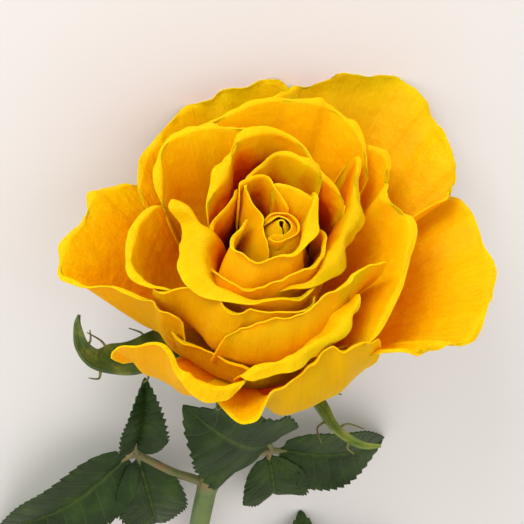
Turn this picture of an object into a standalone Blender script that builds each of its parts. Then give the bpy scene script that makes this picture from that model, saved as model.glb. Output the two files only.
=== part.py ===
"""A cut garden rose, lying down as it would on a table, at its real size.

The bloom faces forward (-Y) and rests on the rims of its two back petals. The stem runs
back along +Y, and its cut end and its leaves lie on the table. Metres, +Z up, with the
origin under the middle of the whole rose.
"""
import math

import bmesh
import bpy
import numpy as np
from mathutils import Matrix, Vector

MM = 0.001

# The bloom as it lies: tipped forward from upright, turned about its own axis, and the place
# of its base over the table
BLOOM_LEAN = math.radians(70)
BLOOM_TURN = math.radians(174)
BLOOM_BASE = Vector((0.0, 0.0, 27.0))
ORIGIN_SHIFT = Vector((1.0, -77.5, 0.0))

# Petals in the bloom's own frame, whose axis is +Z and whose base is at 0, all in mm
PETAL_THICKNESS = 0.7
PETAL_ROWS = (0.0, 0.25, 0.5, 0.7, 0.85, 0.93, 1.0)
PETAL_COLUMN = 10.0
FEWEST_COLUMNS = 5
RIM_SAMPLES = 25
LIP_START = 0.85
LIP_BEND = 0.45
CORNER_START = 0.72
CORNER_DROP = 0.3
CLAW_SPREAD = 0.9
SPREAD_END = 0.6

# The core that the petals grow from, as an outline of (radius, height)
CORE_OUTLINE = ((0.0, 0.0), (6.5, 0.0), (9.0, 1.5), (11.5, 6.0), (12.0, 11.0), (11.0, 17.0), (9.5, 23.0),
                (8.0, 29.0), (5.0, 34.0), (0.0, 35.5))
CORE_SIDES = 16

# Where the outermost and the innermost petal leave the core (radius, height), and how steeply,
# in degrees; the petals between them climb the core in even steps
OUTER_CLAW = (6.8, 1.5, 0.0)
INNER_CLAW = (2.4, 16.5, 84.0)

# The petals from the outermost to the heart. Each has its crest as stations (azimuth in degrees,
# radius, height) from one side to the other; what it does there, evenly across from the same
# side, as (fullness of its curve, how steeply it gets to the crest with 90 upright, length of
# the lip past the crest, how far the lip rolls outward); and its ripple (height, waves across)
PETALS = {
    "right": (
        ((38, 37, 18), (29, 47, 20), (21, 51, 22), (11, 50.5, 23), (0, 50, 24), (-9, 49.5, 25),
         (-18, 47.5, 26), (-25, 45.8, 26.3), (-30.5, 43, 26.6), (-34, 38.8, 27), (-39, 36, 26),
         (-45, 32.5, 25.5), (-52, 27, 24)),
        ((0.46, 30, 1.4, 35), (0.46, 30, 1.4, 35), (0.46, 30, 1.4, 40), (0.46, 35, 1.5, 60),
         (0.5, 50, 1.5, 80)), (1.4, 4.5)),
    "left": (
        ((134, 36, 20), (144, 39, 22), (153, 42, 24), (164, 42, 24), (174, 45, 25), (-178, 45, 25),
         (-170, 37.5, 26), (-162, 30.5, 27), (-152, 27.5, 26), (-140, 24.5, 25)),
        ((0.46, 30, 1.5, 70), (0.46, 30, 1.6, 80), (0.46, 35, 1.6, 80), (0.5, 75, 1.2, 60),
         (0.55, 88, 1.0, 60)), (1.1, 2.5)),
    "low": (
        ((-122, 29, 17), (-112, 33.5, 19), (-103, 37, 20), (-97, 34, 23), (-90, 31, 26),
         (-80, 28.5, 29), (-70, 27, 30), (-60, 27.5, 29.5), (-50, 29.5, 28.5), (-42, 32, 27)),
        ((0.5, 50, 1, 40), (0.46, 20, 1, 30), (0.55, 112, 1.2, 60), (0.55, 120, 1.2, 60),
         (0.5, 85, 1, 60)), (0.5, 1.5)),
    "low_left": (
        ((-148, 44, 25.5), (-146, 41, 28), (-142, 37.5, 31), (-134, 36, 31.2), (-126, 36, 28.8),
         (-118, 35, 26.5), (-111, 33, 26), (-103, 29.5, 26.5)),
        ((0.5, 45, 0.8, 40), (0.55, 85, 1, 60), (0.55, 85, 2, 90), (0.54, 70, 4.5, 120),
         (0.5, 60, 5, 120)), (0.5, 2.0)),
    "low_inner": (
        ((-170, 24, 17), (-156, 25, 19), (-143, 25, 20), (-130, 25, 21), (-117, 25.5, 22),
         (-104, 26, 23), (-91, 25.5, 24), (-77, 25, 25), (-63, 24.5, 25), (-48, 25, 24)),
        ((0.55, 85, 1, 60), (0.55, 85, 1, 60)), (0.5, 2.0)),
    "back_right": (
        ((96, 36, 34), (84, 39, 35.5), (74, 45, 36), (65, 51, 36), (56, 55, 35), (47, 55, 34),
         (39, 53, 32.5), (31, 51, 31), (24, 47.5, 29), (19, 40, 27)),
        ((0.46, 45, 1.4, 40), (0.46, 35, 1.5, 30), (0.46, 35, 1.5, 30), (0.46, 35, 1.5, 30),
         (0.46, 35, 1.5, 40)), (1.3, 3.0)),
    "back_left": (
        ((154, 28.5, 25), (143, 33.5, 26.5), (133, 37, 28), (124, 39, 29.5), (115, 41, 31.5),
         (107, 40.5, 33.5), (99, 41.5, 35), (91, 42.5, 36), (82, 42, 36), (75, 39, 36)),
        ((0.46, 45, 1.4, 35), (0.46, 45, 1.4, 30), (0.46, 45, 1.4, 30), (0.46, 45, 1.4, 40)),
        (1.2, 2.5)),
    "front_right": (
        ((-36, 21, 35), (-46, 22, 34.5), (-56, 23, 34), (-66, 24, 33), (-77, 25, 33),
         (-86, 26.5, 32), (-95, 27.5, 31), (-103, 29, 29), (-110, 32, 26)),
        ((0.5, 75, 0.8, 60), (0.5, 40, 4, 140), (0.5, 35, 9.5, 150), (0.5, 60, 4.5, 130),
         (0.5, 70, 4, 120), (0.5, 70, 4, 125), (0.5, 60, 2.5, 120)), (0.4, 1.5)),
    "right_folded": (
        ((52, 30, 35), (45, 34, 36), (38, 34.5, 35), (31, 30.5, 34), (25, 28, 34), (18, 30, 34),
         (9, 31, 33), (-4, 29, 32), (-19, 28, 31), (-34, 28, 30.5), (-46, 28.5, 30), (-54, 29.5, 29)),
        ((0.5, 65, 1.8, 70), (0.5, 60, 1.6, 70), (0.5, 50, 1.5, 60), (0.5, 50, 1.5, 60),
         (0.5, 60, 1.5, 60)), (0.5, 2.5)),
    "left_lobe": (
        ((152, 25, 32), (160, 27.5, 33), (169, 30, 32), (179, 31, 31), (-172, 31, 30.5),
         (-166, 29.5, 30), (-160, 27, 31), (-154, 24.5, 32)),
        ((0.5, 65, 1.2, 60), (0.5, 60, 1.8, 80), (0.5, 60, 1.8, 80), (0.5, 70, 1.2, 60)), (0.4, 1.5)),
    "top_right": (
        ((122, 31.5, 33.5), (113, 32, 36.5), (103, 32.4, 38.8), (93, 33.5, 40), (83, 34.5, 40.4),
         (73, 35, 40.6), (64, 35, 40.2), (56, 34, 39.6), (48, 32.2, 38), (41, 29.6, 36), (34, 27.5, 34)),
        ((0.5, 65, 0.9, 50), (0.5, 60, 1.3, 60), (0.5, 60, 1.4, 60), (0.5, 60, 1.4, 60),
         (0.5, 70, 0.9, 60)), (0.6, 2.0)),
    "top_left": (
        ((162, 23, 32), (153, 26.5, 34.5), (144, 30, 36.5), (134, 32.5, 38), (123, 31, 39),
         (112, 28.5, 40), (101, 26, 40.6), (90, 24.8, 39.4), (80, 23.5, 37.5)),
        ((0.5, 70, 1.3, 70), (0.5, 60, 1.7, 80), (0.5, 60, 1.7, 80), (0.5, 75, 0.8, 60)), (0.5, 2.0)),
    "front": (
        ((-124, 25, 28), (-117, 22.5, 30.5), (-110, 21.3, 32), (-100, 20.6, 33.5), (-90, 20, 34.5),
         (-78, 19.2, 35.5), (-66, 18.3, 36), (-52, 18, 36.5), (-38, 18.3, 37), (-26, 19.5, 37),
         (-18, 22.5, 36), (-14, 26, 34)),
        ((0.55, 105, 1.2, 60), (0.55, 128, 1.2, 60), (0.55, 128, 1.2, 60), (0.5, 105, 1.3, 60),
         (0.5, 70, 1.4, 70)), (0.4, 2.5)),
    "front_left": (
        ((-164, 29, 30), (-158, 27, 31.5), (-151, 24, 33.5), (-144, 21.8, 35), (-136, 20.8, 35.5),
         (-127, 21.4, 35.5), (-118, 20.8, 35), (-108, 19.3, 35), (-96, 18.7, 35), (-84, 18.5, 35.2),
         (-74, 17.6, 35.4), (-65, 16.4, 34.4), (-57, 15.4, 32.8)),
        ((0.6, 75, 1.2, 60), (0.6, 108, 1.1, 60), (0.6, 112, 1.1, 60), (0.55, 105, 0.8, 60)), (0.4, 1.5)),
    "right_inner": (
        ((50, 29, 34), (45, 28, 38), (41, 25.5, 39), (35, 22, 39), (27, 19.3, 38.5),
         (17, 17.4, 38), (7, 14.8, 38), (-6, 12.6, 38), (-22, 11.9, 38), (-42, 11.8, 38),
         (-61, 12.4, 37.8), (-78, 13.2, 37), (-93, 13.6, 35.4), (-106, 13.4, 33)),
        ((0.46, 85, 0.6, 40), (0.46, 75, 2, 90), (0.46, 60, 4.5, 120), (0.46, 50, 8, 130),
         (0.46, 60, 5, 120), (0.5, 85, 1.6, 80), (0.5, 95, 0.8, 60)), (0.2, 1.0)),
    "left_inner": (
        ((154, 26, 34.5), (157, 23.4, 36), (160, 20.6, 36.8), (165, 17.8, 37.3), (172, 15.6, 37.7),
         (180, 14.9, 38), (-171, 15.6, 38), (-162, 17.4, 38), (-152, 18.7, 38), (-141, 19.2, 37.6),
         (-130, 18.7, 37.2), (-119, 18.7, 37), (-108, 17.6, 37), (-96, 16.3, 37), (-83, 15.6, 36.8),
         (-70, 14.9, 36.4), (-58, 14.2, 35.2), (-47, 13.2, 33.4)),
        ((0.5, 70, 1.5, 60), (0.5, 60, 4, 90), (0.5, 50, 7.5, 100), (0.5, 50, 8, 100),
         (0.5, 55, 6.0, 100), (0.5, 80, 2.2, 90), (0.5, 95, 1.3, 70), (0.5, 95, 1.3, 70),
         (0.5, 95, 0.9, 60)), (0.3, 2.0)),
    "ring_top": (
        ((168, 16, 37), (158, 16.2, 38.5), (147, 16, 39.8), (136, 16.2, 40.6), (126, 17.4, 41.2),
         (118, 19.2, 42), (110, 22.2, 42.6), (101, 22.8, 43), (90, 23, 43), (80, 22.4, 42.2),
         (71, 20.8, 41.8), (62, 18.8, 41), (52, 17.3, 40.5), (42, 16.7, 40), (30, 16.4, 39),
         (18, 16.4, 38)),
        ((0.5, 80, 2.2, 110), (0.5, 75, 3, 110), (0.5, 75, 2.6, 110), (0.5, 85, 1.2, 60),
         (0.5, 88, 1, 50), (0.5, 85, 1, 50)), (0.3, 3.0)),
    "ring_low": (
        ((-168, 14.4, 31.5), (-156, 16, 34), (-144, 17.2, 36.4), (-131, 17.2, 37.8), (-119, 16, 38),
         (-108, 14.7, 38), (-96, 13.3, 38.5), (-83, 11.8, 39), (-67, 10.9, 39), (-49, 10.3, 39),
         (-29, 10.3, 39), (-9, 10.3, 38.2), (8, 9.8, 36.6), (22, 9, 34.6)),
        ((0.5, 95, 0.8, 60), (0.5, 105, 1.2, 60), (0.5, 108, 1.2, 60), (0.5, 105, 1.2, 60),
         (0.5, 95, 0.8, 60)), (0.3, 2.0)),
    "ring_left": (
        ((124, 13.6, 39), (138, 12.4, 38.8), (152, 12.4, 38), (164, 13.3, 37.3), (173, 13.9, 36.6),
         (-178, 13.6, 35.5)), ((0.5, 82, 1, 40), (0.5, 82, 1, 40)), (0.2, 1.0)),
    "heart_top": (
        ((128, 12.4, 40), (118, 13, 41.2), (106, 14.4, 42), (96, 15.7, 42.5), (87, 17.2, 42.6),
         (77, 17.4, 42.5), (67, 16.8, 42), (57, 16.6, 41.8), (47, 15.5, 40.5)),
        ((0.5, 85, 1, 50), (0.5, 85, 1, 50), (0.5, 80, 1.4, 70), (0.5, 75, 2.2, 130)), (0.2, 1.0)),
    "heart_cup": (
        ((160, 8.5, 40.5), (174, 7.9, 41), (-170, 8.2, 41), (-157, 11, 41), (-145, 13, 41),
         (-133, 13, 41), (-121, 12, 41), (-110, 9.4, 41), (-97, 8, 41), (-80, 8.2, 41),
         (-62, 7, 41), (-42, 5.8, 41), (-15, 5.2, 41), (8, 5.6, 41), (27, 7.3, 41.3),
         (38, 10.5, 42), (48, 14, 43)),
        ((0.5, 95, 0.6, 40), (0.5, 100, 1.2, 60), (0.52, 122, 1.9, 75), (0.55, 132, 2.1, 80),
         (0.55, 130, 2.1, 80), (0.5, 118, 2.2, 80), (0.5, 85, 3.6, 90), (0.5, 75, 3.0, 90),
         (0.5, 85, 0.8, 60)), (0.1, 2.0)),
    "heart_fold": (
        ((98, 9.5, 41.6), (88, 9.6, 42), (74, 9.2, 42), (58, 9, 42), (45, 9.4, 41.6), (34, 10, 41)),
        ((0.5, 55, 0.8, 40), (0.5, 55, 0.8, 40)), (0.1, 1.0)),
    "heart_left": (
        ((140, 10.5, 40), (131, 12, 42), (121, 12.4, 42), (110, 12.2, 42.4), (100, 11.3, 42.3),
         (94, 9.4, 42), (88, 7.2, 41.5), (78, 5.2, 41), (62, 4.2, 40.6)),
        ((0.5, 88, 0.9, 40), (0.5, 90, 0.9, 30), (0.5, 95, 0.8, 20)), (0.1, 1.0)),
    "heart_tip": (
        ((124, 12, 42.4), (129, 10.6, 42.2), (134, 8.6, 41.6), (142, 6.2, 41), (156, 4.6, 40.6),
         (178, 4.2, 40.4), (-155, 4.4, 40.2), (-130, 5.2, 39.8), (-108, 6.6, 39)),
        ((0.5, 100, 1.8, 160), (0.5, 110, 0.7, 20), (0.5, 115, 0.7, 20), (0.5, 110, 0.7, 20)),
        (0.1, 1.0)),
    "bud": (
        ((160, 3.4, 39.8), (115, 3.7, 40.2), (70, 3.8, 40.2), (25, 3.9, 40), (-20, 3.7, 39.6),
         (-65, 3.4, 39.4), (-110, 3.5, 39.4), (-150, 3.3, 39.6)),
        ((0.5, 104, 0.5, 20), (0.5, 104, 0.5, 20)), (0.0, 1.0)),
    "bud_fold": (
        ((-150, 2.5, 40.0), (-105, 2.4, 40.0), (-60, 2.5, 40.2), (-15, 2.5, 40.5), (30, 2.2, 40.9),
         (75, 2.0, 41.2), (120, 2.1, 41.2), (165, 2.4, 40.7)),
        ((0.5, 128, 0.4, 10), (0.5, 132, 0.4, 10), (0.5, 128, 0.4, 10)), (0.0, 1.0)),
    "bud_core": (
        ((-60, 0.8, 41.2), (0, 0.8, 41.4), (60, 0.8, 41.5), (120, 0.8, 41.5), (180, 0.8, 41.3),
         (240, 0.9, 41.1), (290, 1.0, 41.0)),
        ((0.5, 125, 0.3, 10), (0.5, 125, 0.3, 10)), (0.0, 1.0)),
}

# The hip under the bloom and its five sepals, in the bloom's own frame
HIP_OUTLINE = ((0.0, -0.3), (6.3, -0.3), (6.9, -1.6), (6.4, -5.0), (4.4, -9.0), (3.0, -12.0), (0.0, -12.0))
HIP_SIDES = 16
SEPAL_THICKNESS = 0.8
SEPAL_ROWS = 8
SEPAL_ROOT = (4.0, -1.6)
SEPAL_TIP_HALF = 0.5
SEPAL_TAPER = 0.8
SEPAL_KEEL = 0.6
SEPAL_CURL = 3
SEPAL_LOBE = 2.6
SEPAL_LOBE_ROWS = (3, 5)
# Each sepal's azimuth, length, half width, and the height and drop of its tip
SEPALS = ((193, 41, 4.2, 10.0), (-53, 41, 3.0, -5.0), (28, 30, 3.6, 3.0), (100, 22, 3.4, 2.0),
          (244, 22, 3.4, -4.0))

# The stem's route over the table from the hip to its cut end, and its prickles as
# (share of the way, degrees round the stem from its right side over the top)
STEM_ROUTE = ((0.0, 11.6, 22.8), (0.6, 28.0, 17.2), (1.8, 48.0, 12.0), (3.4, 72.0, 8.2),
              (5.0, 100.0, 5.4), (6.0, 130.0, 3.8), (5.6, 165.0, 3.0), (3.6, 206.0, 2.75))
STEM_RADII = (2.5, 2.75)
STEM_SIDES = 8
STEM_STEPS = 24
SMALL_STEP = 0.01
PRICKLES = ((0.22, 70), (0.33, 15), (0.50, 150), (0.58, 60), (0.66, 10), (0.80, 120), (0.90, 60))
PRICKLE_LENGTH = 4.0
PRICKLE_RADII = (1.3, 0.3)
PRICKLE_SIDES = 5
PRICKLE_LEAN = 1.2
PRICKLE_BEND = 0.6

# Leaves: each has its place along the stem, its stalk's bend and joints, and its leaflets as
# (joint, base, tip, half width, arch, keel); a leaf meets the stem at a short stub
STUB_LENGTH = 5.2
STUB_RADII = (2.0, 1.5)
STUB_GAP = 0.3
STALK_RADII = (1.3, 1.0)
STALKLET_RADII = (1.0, 0.6)
STALKLET_REACH = 0.12
STALK_SIDES = 6
LEAF_THICKNESS = 0.7
LEAF_ROWS = 14
LEAF_END_HALF = 0.5
TOOTH = 0.5
# A leaflet's outline: where its rounded base starts, how far down it is widest, and how full it is
LEAF_BASE = 0.04
LEAF_WIDEST = 0.72
LEAF_FULLNESS = 0.8
LEAVES = {
    "leaf_left": (0.393, (13.0, 59.0, 10.0), ((22.0, 53.0, 8.5),), (
        (0, (24.5, 54.0, 8.3), (56.0, 81.0, 0.6), 11.0, 5.0, 0.25),
        (0, (22.5, 51.0, 8.5), (22.0, 24.0, 14.0), 5.5, 2.0, 0.8),
        (0, (21.5, 55.0, 8.3), (14.0, 86.0, 0.6), 8.5, 4.0, 0.3))),
    "leaf_right": (0.30, (-6.0, 54.5, 11.5), ((-13.0, 56.0, 9.5),), (
        (0, (-15.5, 56.5, 9.4), (-47.0, 65.0, 0.6), 10.0, 4.0, 0.25),
        (0, (-12.0, 53.0, 10.5), (14.0, 27.0, 22.0), 13.0, 6.0, 0.12),
        (0, (-12.5, 58.0, 9.4), (-17.0, 80.0, 0.6), 8.5, 4.0, 0.3))),
    "leaf_back": (0.735, (-3.0, 128.0, 5.6), ((-12.0, 124.0, 6.5), (-25.0, 118.0, 6.0)), (
        (0, (-12.5, 122.0, 6.5), (-9.0, 95.0, 0.6), 7.5, 3.0, 0.3),
        (0, (-12.5, 126.0, 6.5), (-21.0, 152.0, 0.6), 7.5, 3.0, 0.3),
        (1, (-25.0, 116.0, 6.0), (-26.0, 88.0, 0.6), 8.5, 4.0, 0.25),
        (1, (-25.5, 120.0, 6.0), (-38.0, 147.0, 0.6), 8.5, 4.0, 0.3),
        (1, (-28.0, 117.0, 6.0), (-58.0, 106.0, 0.6), 10.0, 4.0, 0.25))),
}

PETAL_YELLOW = (1.0, 0.52, 0.01, 1.0)
SEPAL_GREEN = (0.09, 0.17, 0.03, 1.0)
STEM_GREEN = (0.12, 0.2, 0.05, 1.0)
LEAF_GREEN = (0.02, 0.06, 0.015, 1.0)


def clear_scene():
    """Removes every object that the file opened with."""
    for item in list(bpy.data.objects):
        bpy.data.objects.remove(item)


def bloom_to_world(point):
    """Turns a point of the bloom's own frame into a place over the table, in mm."""
    lean = Matrix.Rotation(BLOOM_LEAN, 3, "X") @ Matrix.Rotation(BLOOM_TURN, 3, "Z")
    return BLOOM_BASE + lean @ Vector(point)


def curve_through(points, share):
    """Returns the place at a share of the way along a smooth curve through the points."""
    points = np.array(points, dtype=float)
    last = len(points) - 1
    start = min(int(share * last), last - 1)
    t = share * last - start
    before, after = points[max(start - 1, 0)], points[min(start + 2, last)]
    a, b = points[start], points[start + 1]
    return 0.5 * (2 * a + (b - before) * t + (2 * before - 5 * a + 4 * b - after) * t ** 2
                  + (3 * a - before - 3 * b + after) * t ** 3)


def sheet_mesh(grid):
    """Makes a mesh of triangles over a grid of places in mm, given as rows of points."""
    sheet = bmesh.new()
    verts = [[sheet.verts.new((Vector(point) + ORIGIN_SHIFT) * MM) for point in row] for row in grid]
    for row, next_row in zip(verts, verts[1:]):
        for a, b, c, d in zip(row, row[1:], next_row[1:], next_row):
            sheet.faces.new((a, b, c))
            sheet.faces.new((a, c, d))
    return sheet


def new_object(name, shape, smooth_angle=40):
    """Turns a bmesh into an object of that name, and frees the bmesh."""
    mesh = bpy.data.meshes.new(name)
    shape.to_mesh(mesh)
    shape.free()
    mesh.shade_smooth()
    mesh.set_sharp_from_angle(angle=math.radians(smooth_angle))
    item = bpy.data.objects.new(name, mesh)
    bpy.context.collection.objects.link(item)
    return item


def thicken(item, thickness):
    """Gives a sheet its thickness, half on each side, and applies it."""
    wall = item.modifiers.new("Thickness", "SOLIDIFY")
    wall.thickness = thickness * MM
    wall.offset = 0.0
    apply_modifier(item, wall)


def apply_modifier(item, modifier):
    """Applies one modifier of an object."""
    with bpy.context.temp_override(object=item):
        bpy.ops.object.modifier_apply(modifier=modifier.name)


def tube(name, route, radii, sides, steps):
    """Makes a closed tube along a smooth curve through the route, tapering between two radii."""
    places = [Vector(curve_through(route, k / steps)) for k in range(steps + 1)]
    shape = bmesh.new()
    rings = []
    for k, place in enumerate(places):
        along = places[min(k + 1, steps)] - places[max(k - 1, 0)]
        frame = along.to_track_quat("Z", "Y")
        radius = radii[0] + (radii[1] - radii[0]) * k / steps
        ring = []
        for side in range(sides):
            turn = 2 * math.pi * side / sides
            around = frame @ Vector((math.cos(turn), math.sin(turn), 0.0))
            ring.append(shape.verts.new((place + around * radius + ORIGIN_SHIFT) * MM))
        rings.append(ring)
    for ring, next_ring in zip(rings, rings[1:]):
        for side in range(sides):
            other = (side + 1) % sides
            shape.faces.new((ring[side], ring[other], next_ring[other], next_ring[side]))
    shape.faces.new(reversed(rings[0]))
    shape.faces.new(rings[-1])
    bmesh.ops.recalc_face_normals(shape, faces=shape.faces)
    bmesh.ops.triangulate(shape, faces=shape.faces)
    return new_object(name, shape)


def turned(name, outline, sides):
    """Makes a solid turned about the bloom's axis from an outline of (radius, height)."""
    shape = bmesh.new()
    rings = []
    for radius, height in outline:
        count = sides if radius else 1
        ring = []
        for side in range(count):
            turn = 2 * math.pi * side / count
            place = bloom_to_world((radius * math.cos(turn), radius * math.sin(turn), height))
            ring.append(shape.verts.new((place + ORIGIN_SHIFT) * MM))
        rings.append(ring)
    for ring, next_ring in zip(rings, rings[1:]):
        for side in range(sides):
            corners = [ring[side % len(ring)], ring[(side + 1) % len(ring)],
                       next_ring[(side + 1) % len(next_ring)], next_ring[side % len(next_ring)]]
            shape.faces.new(list(dict.fromkeys(corners)))
    bmesh.ops.recalc_face_normals(shape, faces=shape.faces)
    bmesh.ops.triangulate(shape, faces=shape.faces)
    return new_object(name, shape)


def fuse(body, pieces, colour, roughness, solver="EXACT"):
    """Joins the pieces to the body as one closed solid, and gives it its material."""
    group = bpy.data.collections.new(body.name + "_pieces")
    for piece in pieces:
        group.objects.link(piece)
    union = body.modifiers.new("Union", "BOOLEAN")
    union.operation = "UNION"
    union.operand_type = "COLLECTION"
    union.collection = group
    union.solver = solver
    apply_modifier(body, union)
    for piece in pieces:
        bpy.data.objects.remove(piece)
    bpy.data.collections.remove(group)
    keep_outer_shell(body.data)
    paint(body, colour, roughness)


def keep_outer_shell(mesh):
    """Keeps the largest closed shell: sealed hollows are filled and loose scraps dropped."""
    shape = bmesh.new()
    shape.from_mesh(mesh)
    bmesh.ops.triangulate(shape, faces=shape.faces)
    shells = []
    waiting = set(shape.faces)
    while waiting:
        shell, edge_faces = set(), [waiting.pop()]
        while edge_faces:
            face = edge_faces.pop()
            shell.add(face)
            for edge in face.edges:
                for neighbour in edge.link_faces:
                    if neighbour in waiting:
                        waiting.remove(neighbour)
                        edge_faces.append(neighbour)
        shells.append(shell)
    outer = max(shells, key=len)
    bmesh.ops.delete(shape, geom=[face for shell in shells if shell is not outer for face in shell],
                     context="FACES")
    shape.to_mesh(mesh)
    shape.free()


def paint(item, colour, roughness):
    """Gives an object its own material."""
    material = bpy.data.materials.new(item.name)
    material.use_nodes = True
    surface = material.node_tree.nodes["Principled BSDF"]
    surface.inputs["Base Color"].default_value = colour
    surface.inputs["Roughness"].default_value = roughness
    surface.inputs["Metallic"].default_value = 0.0
    item.data.materials.clear()
    item.data.materials.append(material)


def petal_claw(name):
    """Returns where a petal leaves the core (radius, height), and how steeply in radians."""
    inward = list(PETALS).index(name) / (len(PETALS) - 1)
    radius, height, slope = np.array(OUTER_CLAW) * (1 - inward) + np.array(INNER_CLAW) * inward
    return radius, height, math.radians(slope) * inward ** 0.5


def slanted(length, angle):
    """Returns a step of that length in the plane of (radius, height)."""
    return length * np.array((math.cos(angle), math.sin(angle)))


def petal_point(name, u, v):
    """Returns one point of a petal: u runs across it from -1 to 1, v from its claw to its lip."""
    crest_line, edges, (ripple, waves) = PETALS[name]
    crest_line = np.array(crest_line, dtype=float)
    crest_line[:, 0] = np.degrees(np.unwrap(np.radians(crest_line[:, 0])))
    across = (u + 1) / 2
    azimuth, radius, height = curve_through(crest_line, across)
    fullness, flare, lip, roll = curve_through(edges, across)
    middle = curve_through(crest_line, 0.5)[0]
    claw_radius, claw_height, start = petal_claw(name)
    end = math.radians(flare)
    claw, crest = np.array((claw_radius, claw_height)), np.array((radius, height))
    reach = np.linalg.norm(crest - claw) * fullness
    v *= 1 - CORNER_DROP * (max(0.0, abs(u) - CORNER_START) / (1 - CORNER_START)) ** 2
    t = min(v / LIP_START, 1.0)
    place = ((1 - t) ** 3 * claw + 3 * t * (1 - t) ** 2 * (claw + slanted(reach, start))
             + 3 * t * t * (1 - t) * (crest - slanted(reach, end)) + t ** 3 * crest)
    past = max(0.0, v - LIP_START) / (1 - LIP_START)
    bent = min(past, LIP_BEND)
    half_roll = math.radians(roll) * bent / LIP_BEND / 2
    place = place + slanted(lip * bent * np.sinc(half_roll / math.pi), end - half_roll)
    place = place + slanted(lip * (past - bent), end - math.radians(roll))
    place = place + slanted(ripple * v ** 3 * math.sin(math.pi * waves * u), end - math.pi / 2)
    spread = CLAW_SPREAD + (1 - CLAW_SPREAD) * math.sin(math.pi / 2 * min(1.0, t / SPREAD_END))
    turn = math.radians(middle + (azimuth - middle) * spread)
    return Vector((place[0] * math.cos(turn), place[0] * math.sin(turn), place[1]))


def make_petal(name):
    """Makes one petal as a thin solid, pressed level where it would pass through the table."""
    rim = [petal_point(name, u, 1.0) for u in np.linspace(-1, 1, RIM_SAMPLES)]
    length = sum((b - a).length for a, b in zip(rim, rim[1:]))
    columns = max(FEWEST_COLUMNS, round(length / PETAL_COLUMN))
    grid = []
    for u in np.linspace(-1, 1, columns + 1):
        row = [bloom_to_world(petal_point(name, u, v)) for v in PETAL_ROWS]
        for place in row:
            place.z = max(place.z, PETAL_THICKNESS / 2)
        grid.append(row)
    item = new_object(name, sheet_mesh(grid))
    thicken(item, PETAL_THICKNESS)
    return item


def make_bloom():
    """Makes the bloom: every petal, fused to the small core that it grows from."""
    core = turned("bloom", CORE_OUTLINE, CORE_SIDES)
    petals = [make_petal(name) for name in PETALS]
    fuse(core, petals, PETAL_YELLOW, 0.6, "MANIFOLD")


def make_sepal(azimuth, length, half_width, tip_height):
    """Makes one sepal with a lobe on each side, spread under the petals."""
    turn = Matrix.Rotation(math.radians(azimuth), 3, "Z")
    root_reach, root_height = SEPAL_ROOT
    grid = []
    for k in range(SEPAL_ROWS + 1):
        share = k / SEPAL_ROWS
        reach = root_reach + (length - root_reach) * share
        width = half_width * (1 - share) ** SEPAL_TAPER + SEPAL_TIP_HALF
        width += SEPAL_LOBE * (k in SEPAL_LOBE_ROWS)
        height = root_height + (tip_height - root_height) * share ** SEPAL_CURL
        grid.append([bloom_to_world(turn @ Vector((reach, side * width, height + SEPAL_KEEL * abs(side))))
                     for side in (-1, 0, 1)])
    item = new_object("sepal", sheet_mesh(grid))
    thicken(item, SEPAL_THICKNESS)
    return item


def make_calyx():
    """Makes the hip under the bloom, with its sepals."""
    hip = turned("calyx", HIP_OUTLINE, HIP_SIDES)
    fuse(hip, [make_sepal(*sepal) for sepal in SEPALS], SEPAL_GREEN, 0.55)


def stem_place(share):
    """Returns the stem's centre at a share of its length, and the way it runs there."""
    before, centre, after = (Vector(curve_through(STEM_ROUTE, place))
                             for place in (share - SMALL_STEP, share, share + SMALL_STEP))
    return centre, (after - before).normalized()


def leaf_root(leaf):
    """Returns the stem's centre where a leaf grows, and the way its stalk leaves it."""
    share, bend = LEAVES[leaf][:2]
    centre = stem_place(share)[0]
    return centre, (Vector(bend) - centre).normalized()


def make_stub(leaf):
    """Makes the short stub of the stem that a leaf's stalk sits on."""
    centre, out = leaf_root(leaf)
    end = centre + out * (STUB_LENGTH - STUB_GAP)
    return tube("stub", (centre, centre.lerp(end, 0.5), end), STUB_RADII, STALK_SIDES, 2)


def make_prickle(share, side):
    """Makes one broad-based prickle that stands out from the stem and leans to its cut end."""
    centre, along = stem_place(share)
    out = Matrix.Rotation(math.radians(-side), 3, along) @ along.cross(Vector((0, 0, 1))).normalized()
    root = centre + out * STEM_RADII[0] / 2
    tip = centre + out * (STEM_RADII[1] + PRICKLE_LENGTH) + along * PRICKLE_LEAN
    return tube("prickle", (root, root.lerp(tip, PRICKLE_BEND), tip), PRICKLE_RADII, PRICKLE_SIDES, 2)


def make_stem():
    """Makes the stem with its prickles and leaf stubs, cut square at its far end."""
    stem = tube("stem", STEM_ROUTE, STEM_RADII, STEM_SIDES, STEM_STEPS)
    pieces = [make_prickle(*prickle) for prickle in PRICKLES] + [make_stub(leaf) for leaf in LEAVES]
    fuse(stem, pieces, STEM_GREEN, 0.5)


def make_leaflet(base, tip, half_width, arch, keel):
    """Makes one toothed leaflet, arched along its rib and folded up a little on both sides."""
    base, tip = Vector(base), Vector(tip)
    along = tip - base
    side = along.cross(Vector((0, 0, 1))).normalized()
    up = side.cross(along).normalized()
    grid = []
    for k in range(LEAF_ROWS + 1):
        share = k / LEAF_ROWS
        down = (LEAF_BASE + (1 - LEAF_BASE) * share) ** LEAF_WIDEST
        width = half_width * math.sin(math.pi * down) ** LEAF_FULLNESS + LEAF_END_HALF
        width += TOOTH * (-1) ** k * (0 < k < LEAF_ROWS)
        centre = base + along * share + up * arch * math.sin(math.pi * share)
        row = []
        for across in (-1, 0, 1):
            lift = keel * width * abs(across)
            place = centre + side * width * across + up * lift
            place.z = max(place.z, LEAF_THICKNESS / 2)
            row.append(place)
        grid.append(row)
    item = new_object("leaflet", sheet_mesh(grid))
    thicken(item, LEAF_THICKNESS)
    return item


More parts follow.
